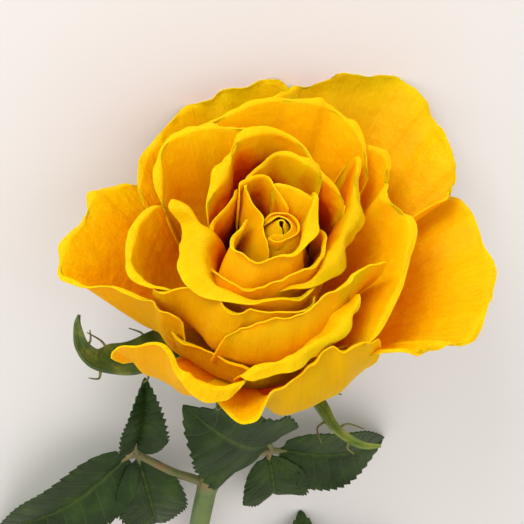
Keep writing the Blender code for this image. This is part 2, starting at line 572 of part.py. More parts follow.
def make_leaf(name):
    """Makes one compound leaf: its stalk and its leaflets."""
    bend, joints, leaflets = LEAVES[name][1:]
    centre, out = leaf_root(name)
    stalk = (centre + out * STUB_LENGTH, bend, *joints)
    leaf = tube(name, stalk, STALK_RADII, STALK_SIDES, 3 * len(stalk) - 3)
    pieces = []
    for joint, base, tip, *shape in leaflets:
        inside = Vector(base).lerp(Vector(tip), STALKLET_REACH)
        pieces.append(tube("stalklet", (joints[joint], base, inside), STALKLET_RADII, STALK_SIDES, 2))
        pieces.append(make_leaflet(base, tip, *shape))
    fuse(leaf, pieces, LEAF_GREEN, 0.5)


clear_scene()
make_bloom()
make_calyx()
make_stem()
for leaf_name in LEAVES:
    make_leaf(leaf_name)
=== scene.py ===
"""A yellow garden rose, cut and laid on a table.

Places and sizes are in millimetres over the table and are turned into metres where a mesh is
made. The bloom faces forward (-Y), and the stem runs back along +Y.
"""
import math

import bpy
import numpy as np
from mathutils import Matrix, Vector


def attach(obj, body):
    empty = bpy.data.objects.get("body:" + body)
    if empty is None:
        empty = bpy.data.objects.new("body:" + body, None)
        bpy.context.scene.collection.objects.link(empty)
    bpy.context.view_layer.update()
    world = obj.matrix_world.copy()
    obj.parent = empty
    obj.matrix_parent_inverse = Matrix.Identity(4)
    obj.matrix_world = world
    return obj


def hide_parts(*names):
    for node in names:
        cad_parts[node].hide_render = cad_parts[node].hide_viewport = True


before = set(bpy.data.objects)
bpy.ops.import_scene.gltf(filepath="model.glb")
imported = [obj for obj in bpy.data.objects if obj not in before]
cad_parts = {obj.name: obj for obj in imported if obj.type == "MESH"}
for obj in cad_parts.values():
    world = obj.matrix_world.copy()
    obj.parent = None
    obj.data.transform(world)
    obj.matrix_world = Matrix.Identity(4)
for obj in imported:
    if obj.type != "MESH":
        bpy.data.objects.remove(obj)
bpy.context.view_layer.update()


# The petals. Each is one thin living sheet that grows from the receptacle and spreads wider to
# its rim, where it crumples and rolls outward. The outer ones open flat, and the inner ones wrap
# each other. They are the petals of the solid bloom, made thinner and with their creases.
MM = 0.001
TABLE_SHIFT = np.array((1.0, -77.5, 0.0))
BLOOM_LEAN = math.radians(70)
BLOOM_TURN = math.radians(174)
BLOOM_BASE = TABLE_SHIFT + (0.0, 0.0, 27.0)
BLOOM_AXES = np.array(Matrix.Rotation(BLOOM_LEAN, 3, "X") @ Matrix.Rotation(BLOOM_TURN, 3, "Z"))
PETAL_THICKNESS = 0.3
LIP_START = 0.85
LIP_BEND = 0.45
CORNER_START = 0.72
CORNER_DROP = 0.3
CLAW_SPREAD = 0.9
SPREAD_END = 0.6
OUTER_CLAW = (6.8, 1.5, 0.0)
INNER_CLAW = (2.4, 16.5, 84.0)
PETAL_ROWS = 46
FEWEST_COLUMNS = 14
CREST_ROW = 0.66
CREST_SAMPLES = 60
PETAL_COLUMN = 0.9
SURFACE_STEP = 0.002
SMALLEST = 1e-9
CRUMPLE_SEED = 7
FULL_CRUMPLE = 85
FEWEST_CREASES = 2
CREASE_EVERY = 14
# Waves across the rim as (length, height, how late along the petal they rise)
CRUMPLE_WAVES = ((21.0, 0.85, 2.5), (12.0, 0.45, 3), (6.5, 0.17, 5), (3.6, 0.05, 8))
# What each wave's and crease's own values lie between
WAVE_SPACING = (0.8, 1.25)
WAVE_DRIFT = (-0.9, 0.9)
WAVE_PHASE = (0, 6)
CREASE_CENTRE = (0.04, 0.96)
CREASE_WIDTH = (0.9, 2.4)
CREASE_DEPTH = (0.25, 0.6)
CREASE_LEAN = (-0.08, 0.08)
CREASE_RISE = (1.5, 4)

# The petals from the outermost to the heart. Each has its crest as stations (azimuth in degrees,
# radius, height) from one side to the other; what it does there, evenly across from the same
# side, as (fullness of its curve, how steeply it gets to the crest with 90 upright, length of
# the lip past the crest, how far the lip rolls outward); and its ripple (height, waves across)
PETALS = {
    "right": (
        ((38, 37, 18), (29, 47, 20), (21, 51, 22), (11, 50.5, 23), (0, 50, 24), (-9, 49.5, 25),
         (-18, 47.5, 26), (-25, 45.8, 26.3), (-30.5, 43, 26.6), (-34, 38.8, 27), (-39, 36, 26),
         (-45, 32.5, 25.5), (-52, 27, 24)),
        ((0.46, 30, 1.4, 35), (0.46, 30, 1.4, 35), (0.46, 30, 1.4, 40), (0.46, 35, 1.5, 60),
         (0.5, 50, 1.5, 80)), (1.4, 4.5)),
    "left": (
        ((134, 36, 20), (144, 39, 22), (153, 42, 24), (164, 42, 24), (174, 45, 25), (-178, 45, 25),
         (-170, 37.5, 26), (-162, 30.5, 27), (-152, 27.5, 26), (-140, 24.5, 25)),
        ((0.46, 30, 1.5, 70), (0.46, 30, 1.6, 80), (0.46, 35, 1.6, 80), (0.5, 75, 1.2, 60),
         (0.55, 88, 1.0, 60)), (1.1, 2.5)),
    "low": (
        ((-122, 29, 17), (-112, 33.5, 19), (-103, 37, 20), (-97, 34, 23), (-90, 31, 26),
         (-80, 28.5, 29), (-70, 27, 30), (-60, 27.5, 29.5), (-50, 29.5, 28.5), (-42, 32, 27)),
        ((0.5, 50, 1, 40), (0.46, 20, 1, 30), (0.55, 112, 1.2, 60), (0.55, 120, 1.2, 60),
         (0.5, 85, 1, 60)), (0.5, 1.5)),
    "low_left": (
        ((-148, 44, 25.5), (-146, 41, 28), (-142, 37.5, 31), (-134, 36, 31.2), (-126, 36, 28.8),
         (-118, 35, 26.5), (-111, 33, 26), (-103, 29.5, 26.5)),
        ((0.5, 45, 0.8, 40), (0.55, 85, 1, 60), (0.55, 85, 2, 90), (0.54, 70, 4.5, 120),
         (0.5, 60, 5, 120)), (0.5, 2.0)),
    "low_inner": (
        ((-170, 24, 17), (-156, 25, 19), (-143, 25, 20), (-130, 25, 21), (-117, 25.5, 22),
         (-104, 26, 23), (-91, 25.5, 24), (-77, 25, 25), (-63, 24.5, 25), (-48, 25, 24)),
        ((0.55, 85, 1, 60), (0.55, 85, 1, 60)), (0.5, 2.0)),
    "back_right": (
        ((96, 36, 34), (84, 39, 35.5), (74, 45, 36), (65, 51, 36), (56, 55, 35), (47, 55, 34),
         (39, 53, 32.5), (31, 51, 31), (24, 47.5, 29), (19, 40, 27)),
        ((0.46, 45, 1.4, 40), (0.46, 35, 1.5, 30), (0.46, 35, 1.5, 30), (0.46, 35, 1.5, 30),
         (0.46, 35, 1.5, 40)), (1.3, 3.0)),
    "back_left": (
        ((154, 28.5, 25), (143, 33.5, 26.5), (133, 37, 28), (124, 39, 29.5), (115, 41, 31.5),
         (107, 40.5, 33.5), (99, 41.5, 35), (91, 42.5, 36), (82, 42, 36), (75, 39, 36)),
        ((0.46, 45, 1.4, 35), (0.46, 45, 1.4, 30), (0.46, 45, 1.4, 30), (0.46, 45, 1.4, 40)),
        (1.2, 2.5)),
    "front_right": (
        ((-36, 21, 35), (-46, 22, 34.5), (-56, 23, 34), (-66, 24, 33), (-77, 25, 33),
         (-86, 26.5, 32), (-95, 27.5, 31), (-103, 29, 29), (-110, 32, 26)),
        ((0.5, 75, 0.8, 60), (0.5, 40, 4, 140), (0.5, 35, 9.5, 150), (0.5, 60, 4.5, 130),
         (0.5, 70, 4, 120), (0.5, 70, 4, 125), (0.5, 60, 2.5, 120)), (0.4, 1.5)),
    "right_folded": (
        ((52, 30, 35), (45, 34, 36), (38, 34.5, 35), (31, 30.5, 34), (25, 28, 34), (18, 30, 34),
         (9, 31, 33), (-4, 29, 32), (-19, 28, 31), (-34, 28, 30.5), (-46, 28.5, 30), (-54, 29.5, 29)),
        ((0.5, 65, 1.8, 70), (0.5, 60, 1.6, 70), (0.5, 50, 1.5, 60), (0.5, 50, 1.5, 60),
         (0.5, 60, 1.5, 60)), (0.5, 2.5)),
    "left_lobe": (
        ((152, 25, 32), (160, 27.5, 33), (169, 30, 32), (179, 31, 31), (-172, 31, 30.5),
         (-166, 29.5, 30), (-160, 27, 31), (-154, 24.5, 32)),
        ((0.5, 65, 1.2, 60), (0.5, 60, 1.8, 80), (0.5, 60, 1.8, 80), (0.5, 70, 1.2, 60)), (0.4, 1.5)),
    "top_right": (
        ((122, 31.5, 33.5), (113, 32, 36.5), (103, 32.4, 38.8), (93, 33.5, 40), (83, 34.5, 40.4),
         (73, 35, 40.6), (64, 35, 40.2), (56, 34, 39.6), (48, 32.2, 38), (41, 29.6, 36), (34, 27.5, 34)),
        ((0.5, 65, 0.9, 50), (0.5, 60, 1.3, 60), (0.5, 60, 1.4, 60), (0.5, 60, 1.4, 60),
         (0.5, 70, 0.9, 60)), (0.6, 2.0)),
    "top_left": (
        ((162, 23, 32), (153, 26.5, 34.5), (144, 30, 36.5), (134, 32.5, 38), (123, 31, 39),
         (112, 28.5, 40), (101, 26, 40.6), (90, 24.8, 39.4), (80, 23.5, 37.5)),
        ((0.5, 70, 1.3, 70), (0.5, 60, 1.7, 80), (0.5, 60, 1.7, 80), (0.5, 75, 0.8, 60)), (0.5, 2.0)),
    "front": (
        ((-124, 25, 28), (-117, 22.5, 30.5), (-110, 21.3, 32), (-100, 20.6, 33.5), (-90, 20, 34.5),
         (-78, 19.2, 35.5), (-66, 18.3, 36), (-52, 18, 36.5), (-38, 18.3, 37), (-26, 19.5, 37),
         (-18, 22.5, 36), (-14, 26, 34)),
        ((0.55, 105, 1.2, 60), (0.55, 128, 1.2, 60), (0.55, 128, 1.2, 60), (0.5, 105, 1.3, 60),
         (0.5, 70, 1.4, 70)), (0.4, 2.5)),
    "front_left": (
        ((-164, 29, 30), (-158, 27, 31.5), (-151, 24, 33.5), (-144, 21.8, 35), (-136, 20.8, 35.5),
         (-127, 21.4, 35.5), (-118, 20.8, 35), (-108, 19.3, 35), (-96, 18.7, 35), (-84, 18.5, 35.2),
         (-74, 17.6, 35.4), (-65, 16.4, 34.4), (-57, 15.4, 32.8)),
        ((0.6, 75, 1.2, 60), (0.6, 108, 1.1, 60), (0.6, 112, 1.1, 60), (0.55, 105, 0.8, 60)), (0.4, 1.5)),
    "right_inner": (
        ((50, 29, 34), (45, 28, 38), (41, 25.5, 39), (35, 22, 39), (27, 19.3, 38.5),
         (17, 17.4, 38), (7, 14.8, 38), (-6, 12.6, 38), (-22, 11.9, 38), (-42, 11.8, 38),
         (-61, 12.4, 37.8), (-78, 13.2, 37), (-93, 13.6, 35.4), (-106, 13.4, 33)),
        ((0.46, 85, 0.6, 40), (0.46, 75, 2, 90), (0.46, 60, 4.5, 120), (0.46, 50, 8, 130),
         (0.46, 60, 5, 120), (0.5, 85, 1.6, 80), (0.5, 95, 0.8, 60)), (0.2, 1.0)),
    "left_inner": (
        ((154, 26, 34.5), (157, 23.4, 36), (160, 20.6, 36.8), (165, 17.8, 37.3), (172, 15.6, 37.7),
         (180, 14.9, 38), (-171, 15.6, 38), (-162, 17.4, 38), (-152, 18.7, 38), (-141, 19.2, 37.6),
         (-130, 18.7, 37.2), (-119, 18.7, 37), (-108, 17.6, 37), (-96, 16.3, 37), (-83, 15.6, 36.8),
         (-70, 14.9, 36.4), (-58, 14.2, 35.2), (-47, 13.2, 33.4)),
        ((0.5, 70, 1.5, 60), (0.5, 60, 4, 90), (0.5, 50, 7.5, 100), (0.5, 50, 8, 100),
         (0.5, 55, 6.0, 100), (0.5, 80, 2.2, 90), (0.5, 95, 1.3, 70), (0.5, 95, 1.3, 70),
         (0.5, 95, 0.9, 60)), (0.3, 2.0)),
    "ring_top": (
        ((168, 16, 37), (158, 16.2, 38.5), (147, 16, 39.8), (136, 16.2, 40.6), (126, 17.4, 41.2),
         (118, 19.2, 42), (110, 22.2, 42.6), (101, 22.8, 43), (90, 23, 43), (80, 22.4, 42.2),
         (71, 20.8, 41.8), (62, 18.8, 41), (52, 17.3, 40.5), (42, 16.7, 40), (30, 16.4, 39),
         (18, 16.4, 38)),
        ((0.5, 80, 2.2, 110), (0.5, 75, 3, 110), (0.5, 75, 2.6, 110), (0.5, 85, 1.2, 60),
         (0.5, 88, 1, 50), (0.5, 85, 1, 50)), (0.3, 3.0)),
    "ring_low": (
        ((-168, 14.4, 31.5), (-156, 16, 34), (-144, 17.2, 36.4), (-131, 17.2, 37.8), (-119, 16, 38),
         (-108, 14.7, 38), (-96, 13.3, 38.5), (-83, 11.8, 39), (-67, 10.9, 39), (-49, 10.3, 39),
         (-29, 10.3, 39), (-9, 10.3, 38.2), (8, 9.8, 36.6), (22, 9, 34.6)),
        ((0.5, 95, 0.8, 60), (0.5, 105, 1.2, 60), (0.5, 108, 1.2, 60), (0.5, 105, 1.2, 60),
         (0.5, 95, 0.8, 60)), (0.3, 2.0)),
    "ring_left": (
        ((124, 13.6, 39), (138, 12.4, 38.8), (152, 12.4, 38), (164, 13.3, 37.3), (173, 13.9, 36.6),
         (-178, 13.6, 35.5)), ((0.5, 82, 1, 40), (0.5, 82, 1, 40)), (0.2, 1.0)),
    "heart_top": (
        ((128, 12.4, 40), (118, 13, 41.2), (106, 14.4, 42), (96, 15.7, 42.5), (87, 17.2, 42.6),
         (77, 17.4, 42.5), (67, 16.8, 42), (57, 16.6, 41.8), (47, 15.5, 40.5)),
        ((0.5, 85, 1, 50), (0.5, 85, 1, 50), (0.5, 80, 1.4, 70), (0.5, 75, 2.2, 130)), (0.2, 1.0)),
    "heart_cup": (
        ((160, 8.5, 40.5), (174, 7.9, 41), (-170, 8.2, 41), (-157, 11, 41), (-145, 13, 41),
         (-133, 13, 41), (-121, 12, 41), (-110, 9.4, 41), (-97, 8, 41), (-80, 8.2, 41),
         (-62, 7, 41), (-42, 5.8, 41), (-15, 5.2, 41), (8, 5.6, 41), (27, 7.3, 41.3),
         (38, 10.5, 42), (48, 14, 43)),
        ((0.5, 95, 0.6, 40), (0.5, 100, 1.2, 60), (0.52, 122, 1.9, 75), (0.55, 132, 2.1, 80),
         (0.55, 130, 2.1, 80), (0.5, 118, 2.2, 80), (0.5, 85, 3.6, 90), (0.5, 75, 3.0, 90),
         (0.5, 85, 0.8, 60)), (0.1, 2.0)),
    "heart_fold": (
        ((98, 9.5, 41.6), (88, 9.6, 42), (74, 9.2, 42), (58, 9, 42), (45, 9.4, 41.6), (34, 10, 41)),
        ((0.5, 55, 0.8, 40), (0.5, 55, 0.8, 40)), (0.1, 1.0)),
    "heart_left": (
        ((140, 10.5, 40), (131, 12, 42), (121, 12.4, 42), (110, 12.2, 42.4), (100, 11.3, 42.3),
         (94, 9.4, 42), (88, 7.2, 41.5), (78, 5.2, 41), (62, 4.2, 40.6)),
        ((0.5, 88, 0.9, 40), (0.5, 90, 0.9, 30), (0.5, 95, 0.8, 20)), (0.1, 1.0)),
    "heart_tip": (
        ((124, 12, 42.4), (129, 10.6, 42.2), (134, 8.6, 41.6), (142, 6.2, 41), (156, 4.6, 40.6),
         (178, 4.2, 40.4), (-155, 4.4, 40.2), (-130, 5.2, 39.8), (-108, 6.6, 39)),
        ((0.5, 100, 1.8, 160), (0.5, 110, 0.7, 20), (0.5, 115, 0.7, 20), (0.5, 110, 0.7, 20)),
        (0.1, 1.0)),
    "bud": (
        ((160, 3.4, 39.8), (115, 3.7, 40.2), (70, 3.8, 40.2), (25, 3.9, 40), (-20, 3.7, 39.6),
         (-65, 3.4, 39.4), (-110, 3.5, 39.4), (-150, 3.3, 39.6)),
        ((0.5, 104, 0.5, 20), (0.5, 104, 0.5, 20)), (0.0, 1.0)),
    "bud_fold": (
        ((-150, 2.5, 40.0), (-105, 2.4, 40.0), (-60, 2.5, 40.2), (-15, 2.5, 40.5), (30, 2.2, 40.9),
         (75, 2.0, 41.2), (120, 2.1, 41.2), (165, 2.4, 40.7)),
        ((0.5, 128, 0.4, 10), (0.5, 132, 0.4, 10), (0.5, 128, 0.4, 10)), (0.0, 1.0)),
    "bud_core": (
        ((-60, 0.8, 41.2), (0, 0.8, 41.4), (60, 0.8, 41.5), (120, 0.8, 41.5), (180, 0.8, 41.3),
         (240, 0.9, 41.1), (290, 1.0, 41.0)),
        ((0.5, 125, 0.3, 10), (0.5, 125, 0.3, 10)), (0.0, 1.0)),
}


def smooth_curve(stations, share):
    """Returns the places at those shares of the way along a smooth curve through the stations."""
    stations = np.array(stations, dtype=float)
    last = len(stations) - 1
    start = np.clip((share * last).astype(int), 0, last - 1)
    t = (share * last - start)[:, None]
    before, after = stations[np.maximum(start - 1, 0)], stations[np.minimum(start + 2, last)]
    a, b = stations[start], stations[start + 1]
    return 0.5 * (2 * a + (b - before) * t + (2 * before - 5 * a + 4 * b - after) * t ** 2
                  + (3 * a - before - 3 * b + after) * t ** 3)


def unit(vectors):
    """Returns vectors brought to a length of one."""
    return vectors / np.maximum(np.linalg.norm(vectors, axis=-1, keepdims=True), SMALLEST)


def slanted(length, angle):
    """Returns steps of that length in the plane of (radius, height)."""
    return np.stack((length * np.cos(angle), length * np.sin(angle)), axis=-1)


def round_axis(radius, height, degrees):
    """Turns (radius, height, azimuth) about the bloom's axis into places over the table."""
    turn = np.radians(degrees)
    local = np.stack((radius * np.cos(turn), radius * np.sin(turn), height + 0 * turn), axis=-1)
    return BLOOM_BASE + local @ BLOOM_AXES.T


def bare_petal(name, across, along):
    """Returns a petal's places before it crumples, from its claw (0) along to its lip (1)."""
    crest_line, edges, (ripple, waves) = PETALS[name]
    crest_line = np.array(crest_line, dtype=float)
    crest_line[:, 0] = np.degrees(np.unwrap(np.radians(crest_line[:, 0])))
    azimuth, *crest = smooth_curve(crest_line, across).T
    fullness, flare, lip, roll = smooth_curve(edges, across).T
    middle = smooth_curve(crest_line, np.array([0.5]))[0, 0]
    inward = list(PETALS).index(name) / (len(PETALS) - 1)
    *claw, slope = np.array(OUTER_CLAW) * (1 - inward) + np.array(INNER_CLAW) * inward
    start, end = math.radians(slope) * inward ** 0.5, np.radians(flare)
    claw, crest = np.array(claw), np.array(crest).T
    reach = np.linalg.norm(crest - claw, axis=1) * fullness
    corner = np.maximum(0, np.abs(2 * across - 1) - CORNER_START) / (1 - CORNER_START)
    along = along * (1 - CORNER_DROP * corner ** 2)
    t = np.minimum(along / LIP_START, 1)
    side = t[:, None]
    place = ((1 - side) ** 3 * claw + 3 * side * (1 - side) ** 2 * (claw + slanted(reach, start))
             + 3 * side * side * (1 - side) * (crest - slanted(reach, end)) + side ** 3 * crest)
    past = np.maximum(0, along - LIP_START) / (1 - LIP_START)
    bent = np.minimum(past, LIP_BEND)
    half_roll = np.radians(roll) * bent / LIP_BEND / 2
    place += slanted(lip * bent * np.sinc(half_roll / math.pi), end - half_roll)
    place += slanted(lip * (past - bent), end - np.radians(roll))
    swing = ripple * along ** 3 * np.sin(math.pi * waves * (2 * across - 1))
    place += slanted(swing, end - math.pi / 2)
    spread = CLAW_SPREAD + (1 - CLAW_SPREAD) * np.sin(math.pi / 2 * np.minimum(1, t / SPREAD_END))
    return round_axis(*place.T, middle + (azimuth - middle) * spread)


def crest_length(name):
    """Returns how long a petal's crest is."""
    crest = bare_petal(name, np.linspace(0, 1, CREST_SAMPLES), np.full(CREST_SAMPLES, LIP_START))
    return np.linalg.norm(np.diff(crest, axis=0), axis=1).sum()


def crumple(name, across, along):
    """Returns how far a petal stands out from its plain form: long waves, short ones and creases."""
    draw = np.random.default_rng(list(PETALS).index(name) + CRUMPLE_SEED)
    length = crest_length(name)
    size = min(1.0, length / FULL_CRUMPLE)
    height = np.zeros_like(across)
    for wave, swing, rise in CRUMPLE_WAVES:
        count = length / wave * draw.uniform(*WAVE_SPACING)
        drift = draw.uniform(*WAVE_DRIFT)
        phase = draw.uniform(*WAVE_PHASE)
        turn = 2 * math.pi * (count * across + drift * along) + phase
        height += size * swing * along ** rise * np.sin(turn)
    for _ in range(max(FEWEST_CREASES, round(length / CREASE_EVERY))):
        centre = draw.uniform(*CREASE_CENTRE)
        width = draw.uniform(*CREASE_WIDTH)
        depth = draw.uniform(*CREASE_DEPTH)
        lean = draw.uniform(*CREASE_LEAN)
        rise = draw.uniform(*CREASE_RISE)
        away = (across - centre - lean * (1 - along)) * length / width
        height -= size * depth * np.exp(-away ** 2) * along ** rise
    return height


def turns_left(name):
    """Tells whether a petal's stations run round the bloom to the left, seen from its face."""
    first, second = (station[0] for station in PETALS[name][0][:2])
    return (second - first) % 360 < 180


def outward_from(surface, across, along):
    """Returns the directions square to a surface, from its places a small step to each side."""
    left, right = np.maximum(across - SURFACE_STEP, 0), np.minimum(across + SURFACE_STEP, 1)
    sooner, later = np.maximum(along - SURFACE_STEP, 0), np.minimum(along + SURFACE_STEP, 1)
    sideways = surface(right, along) - surface(left, along)
    onward = surface(across, later) - surface(across, sooner)
    return unit(np.cross(sideways, onward))


def petal_places(name, across, down):
    """Returns the places of a petal with its crumpled rim, kept above the table."""
    along = np.interp(down, (0, CREST_ROW, 1), (0, LIP_START, 1))
    if turns_left(name):
        across = 1 - across
    place = bare_petal(name, across, along)
    normal = outward_from(lambda a, b: bare_petal(name, a, b), across, along)
    place += normal * crumple(name, across, along)[:, None]
    place[:, 2] = np.maximum(place[:, 2], PETAL_THICKNESS / 2)
    return place


def lay_grid(name, columns, rows, surface):
    """Adds a flat grid and lays its points on a surface given over its two shares, in mm."""
    bpy.ops.object.select_all(action="DESELECT")
    bpy.ops.mesh.primitive_grid_add(x_subdivisions=columns, y_subdivisions=rows, size=2)
    piece = bpy.context.object
    piece.name = piece.data.name = name
    flat = np.empty(3 * len(piece.data.vertices))
    piece.data.vertices.foreach_get("co", flat)
    across, along = (flat.reshape(-1, 3)[:, :2].T + 1) / 2
    piece.data.vertices.foreach_set("co", (surface(across, along) * MM).ravel())
    piece.data.update()
    return piece


def apply_new(piece, kind, **settings):
    """Adds a modifier to a piece, sets it and applies it."""
    modifier = piece.modifiers.new(kind.title(), kind)
    for name, value in settings.items():
        setattr(modifier, name, value)
    with bpy.context.temp_override(object=piece):
        bpy.ops.object.modifier_apply(modifier=modifier.name)


def select_alone(piece):
    """Selects one piece and nothing else."""
    bpy.ops.object.select_all(action="DESELECT")
    piece.select_set(True)
    bpy.context.view_layer.objects.active = piece


def smooth_to(piece, degrees):
    """Shades a piece smooth, apart from its edges that are sharper than that."""
    select_alone(piece)
    bpy.ops.object.shade_smooth_by_angle(angle=math.radians(degrees))


def shader_node(tree, kind, inputs=None, **settings):
    """Adds a shader node with its settings, and links or fills the inputs that are named."""
    node = tree.nodes.new(kind)
    for name, value in settings.items():
        setattr(node, name, value)
    for socket, value in (inputs or {}).items():
        if isinstance(value, bpy.types.NodeSocket):
            tree.links.new(value, node.inputs[socket])
        else:
            node.inputs[socket].default_value = value
    return node


def patches_group():
    """Builds the soft patches that petals, stem and leaves share: a value from low to high."""
    group = bpy.data.node_groups.new("soft_patches", "ShaderNodeTree")
    for socket, kind in (("Vector", "Vector"), ("Scale", "Float"), ("Low", "Float"), ("High", "Float")):
        group.interface.new_socket(socket, in_out="INPUT", socket_type="NodeSocket" + kind)
    group.interface.new_socket("Value", in_out="OUTPUT", socket_type="NodeSocketFloat")
    given = shader_node(group, "NodeGroupInput").outputs
    noise = shader_node(group, "ShaderNodeTexNoise", {
        "Vector": given["Vector"], "Scale": given["Scale"], "Detail": 3.0})
    spread = shader_node(group, "ShaderNodeMapRange", {
        "Value": noise.outputs["Fac"], "From Min": 0.3, "From Max": 0.7,
        "To Min": given["Low"], "To Max": given["High"]})
    shader_node(group, "NodeGroupOutput", {"Value": spread.outputs["Result"]})
    return group


SOFT_PATCHES = patches_group()


def patches(tree, vector, scale, low, high):
    """Places soft patches in a material and returns their value."""
    return shader_node(tree, "ShaderNodeGroup", {
        "Vector": vector, "Scale": scale, "Low": low, "High": high},
        node_tree=SOFT_PATCHES).outputs["Value"]


def colour_ramp(tree, value, stops):
    """Places a colour ramp in a material and returns its colour."""
    ramp = shader_node(tree, "ShaderNodeValToRGB", {"Fac": value})
    elements = ramp.color_ramp.elements
    elements.remove(elements[1])
    elements[0].position = stops[0][0]
    elements[0].color = (*stops[0][1], 1)
    for place, colour in stops[1:]:
        elements.new(place).color = (*colour, 1)
    return ramp.outputs["Color"]


def worked_out(tree, operation, first, second=0):
    """Returns the result of an operation on one value or two."""
    return shader_node(tree, "ShaderNodeMath", {0: first, 1: second}, operation=operation).outputs["Value"]


def mask(tree, value, off, on, strength=1.0):
    """Returns a value that rises evenly from 0, where the given value is off, to full where it is on."""
    return shader_node(tree, "ShaderNodeMapRange", {
        "Value": value, "From Min": off, "From Max": on, "To Min": 0.0,
        "To Max": strength}).outputs["Result"]


def scaled(tree, colour, value):
    """Returns a colour, or a vector, scaled by a value."""
    return shader_node(tree, "ShaderNodeVectorMath", {"Vector": colour, "Scale": value},
                       operation="SCALE").outputs["Vector"]


def stretched(tree, vector, scale):
    """Returns a vector stretched by a scale of its own on each axis."""
    return shader_node(tree, "ShaderNodeMapping", {"Vector": vector, "Scale": scale}).outputs["Vector"]


def blended(tree, amount, first, second, blend_type="MIX"):
    """Returns two colours blended by an amount."""
    return shader_node(tree, "ShaderNodeMix", {0: amount, 6: first, 7: second}, data_type="RGBA",
                       blend_type=blend_type).outputs[2]


def new_skin(name):
    """Makes a material and returns it with its nodes, its surface and its texture places."""
    skin = bpy.data.materials.new(name)
    skin.use_nodes = True
    tree = skin.node_tree
    return skin, tree, tree.nodes["Principled BSDF"].inputs, shader_node(tree, "ShaderNodeTexCoord").outputs


def dress(tree, surface, colour, relief, depth, strength, roughness):
    """Gives a surface its colour, its roughness and its fine relief, as deep as that in metres."""
    bump = shader_node(tree, "ShaderNodeBump", {"Height": relief, "Distance": depth, "Strength": strength})
    tree.links.new(colour, surface["Base Color"])
    tree.links.new(bump.outputs["Normal"], surface["Normal"])
    tree.links.new(roughness, surface["Roughness"])


PETAL_VEINS = (46, 2.2, 1)
PETAL_FINE_VEINS = (150, 5, 1)
FINE_VEIN_SHARE = 0.4
VEIN_SHADE = 0.04
SHADE_BETWEEN_VEINS = 0.965
# Soft patches as (patches a metre, lowest value, highest value)
CLAW_WANDER = (110, -0.07, 0.07)
CRINKLES = (330, 0, 1.6)
GRAIN = (1500, 0, 0.3)
BLUSH = (1.0, 0.72, 0.5, 1)
BLUSH_PATCHES = 70
SHEEN_PATCHES = 60
SHEEN_CHANGE = 0.08
PETAL_RELIEF = 0.0004


def petal_skin(name, stops, blush, roughness, crinkle):
    """Makes a petal's living skin: deep at the claw, bright at the rim, veined and finely crinkled. Its
    stops may add painted shade deep down and a painted highlight at the very rim.
    """
    skin, tree, surface, place = new_skin(name)
    down = shader_node(tree, "ShaderNodeSeparateXYZ", {"Vector": place["UV"]}).outputs["Y"]
    down = worked_out(tree, "ADD", down, patches(tree, place["Object"], *CLAW_WANDER))
    veins = patches(tree, stretched(tree, place["UV"], PETAL_VEINS), 1, 0, 1)
    fine_veins = patches(tree, stretched(tree, place["UV"], PETAL_FINE_VEINS), 1, 0, 1)
    relief = worked_out(tree, "ADD", veins, worked_out(tree, "MULTIPLY", fine_veins, FINE_VEIN_SHARE))
    colour = colour_ramp(tree, down, stops)
    blushing = patches(tree, place["Object"], BLUSH_PATCHES, 0, blush)
    colour = blended(tree, blushing, colour, BLUSH, "MULTIPLY")
    vein_shade = worked_out(tree, "MULTIPLY", relief, VEIN_SHADE)
    colour = scaled(tree, colour, worked_out(tree, "ADD", vein_shade, SHADE_BETWEEN_VEINS))
    relief = worked_out(tree, "ADD", relief, patches(tree, place["Object"], *CRINKLES))
    relief = worked_out(tree, "ADD", relief, patches(tree, place["Object"], *GRAIN))
    sheen = patches(tree, place["Object"], SHEEN_PATCHES, roughness - SHEEN_CHANGE, roughness + SHEEN_CHANGE)
    dress(tree, surface, colour, relief, PETAL_RELIEF, crinkle, sheen)
    surface["Subsurface Weight"].default_value = 0.65
    surface["Subsurface Radius"].default_value = (1.0, 0.35, 0.02)
    surface["Subsurface Scale"].default_value = 0.0025
    surface["Specular IOR Level"].default_value = 0.06
    return skin


BRUISE_GREEN = (0.52, 0.44, 0.0, 1)
BRUISE_PLACE = round_axis(19.5, 36.5, -34)
BRUISE_REACH = 9.0
BRUISE_STRENGTH = 1.6
BRUISE_PATCHES = (220, 0.1, 1.0)


def bruised(skin, name):
    """Copies a petal's skin and tints it olive in ragged patches, where the petal was bruised."""
    skin = skin.copy()
    skin.name = name
    tree = skin.node_tree
    colour = tree.nodes["Principled BSDF"].inputs["Base Color"]
    place = shader_node(tree, "ShaderNodeTexCoord").outputs["Object"]
    away = shader_node(tree, "ShaderNodeVectorMath", {0: place, 1: tuple(BRUISE_PLACE * MM)},
                       operation="DISTANCE").outputs["Value"]
    near = mask(tree, away, BRUISE_REACH * MM, 0.0, BRUISE_STRENGTH)
    amount = worked_out(tree, "MULTIPLY", near, patches(tree, place, *BRUISE_PATCHES))
    tree.links.new(blended(tree, amount, colour.links[0].from_socket, BRUISE_GREEN), colour)
    return skin


# Each skin's colours run from the claw (0) over the crest (0.66) to the lip (1). Their last stop makes the
# very rim a little paler, as a painted rim highlight.
FACE_STOPS = (
    (0.0, (0.6, 0.14, 0.0)), (0.2, (0.8, 0.29, 0.0)), (0.42, (0.84, 0.37, 0.0)),
    (0.6, (0.88, 0.44, 0.0)), (0.68, (0.9, 0.49, 0.0)), (1.0, (0.91, 0.52, 0.001)))
PETAL_FACE = petal_skin("petal_face", FACE_STOPS, 0.3, 0.55, 0.28)
OUTER_PETAL_FACE = petal_skin("outer_petal_face", FACE_STOPS, 0.3, 0.5, 0.4)
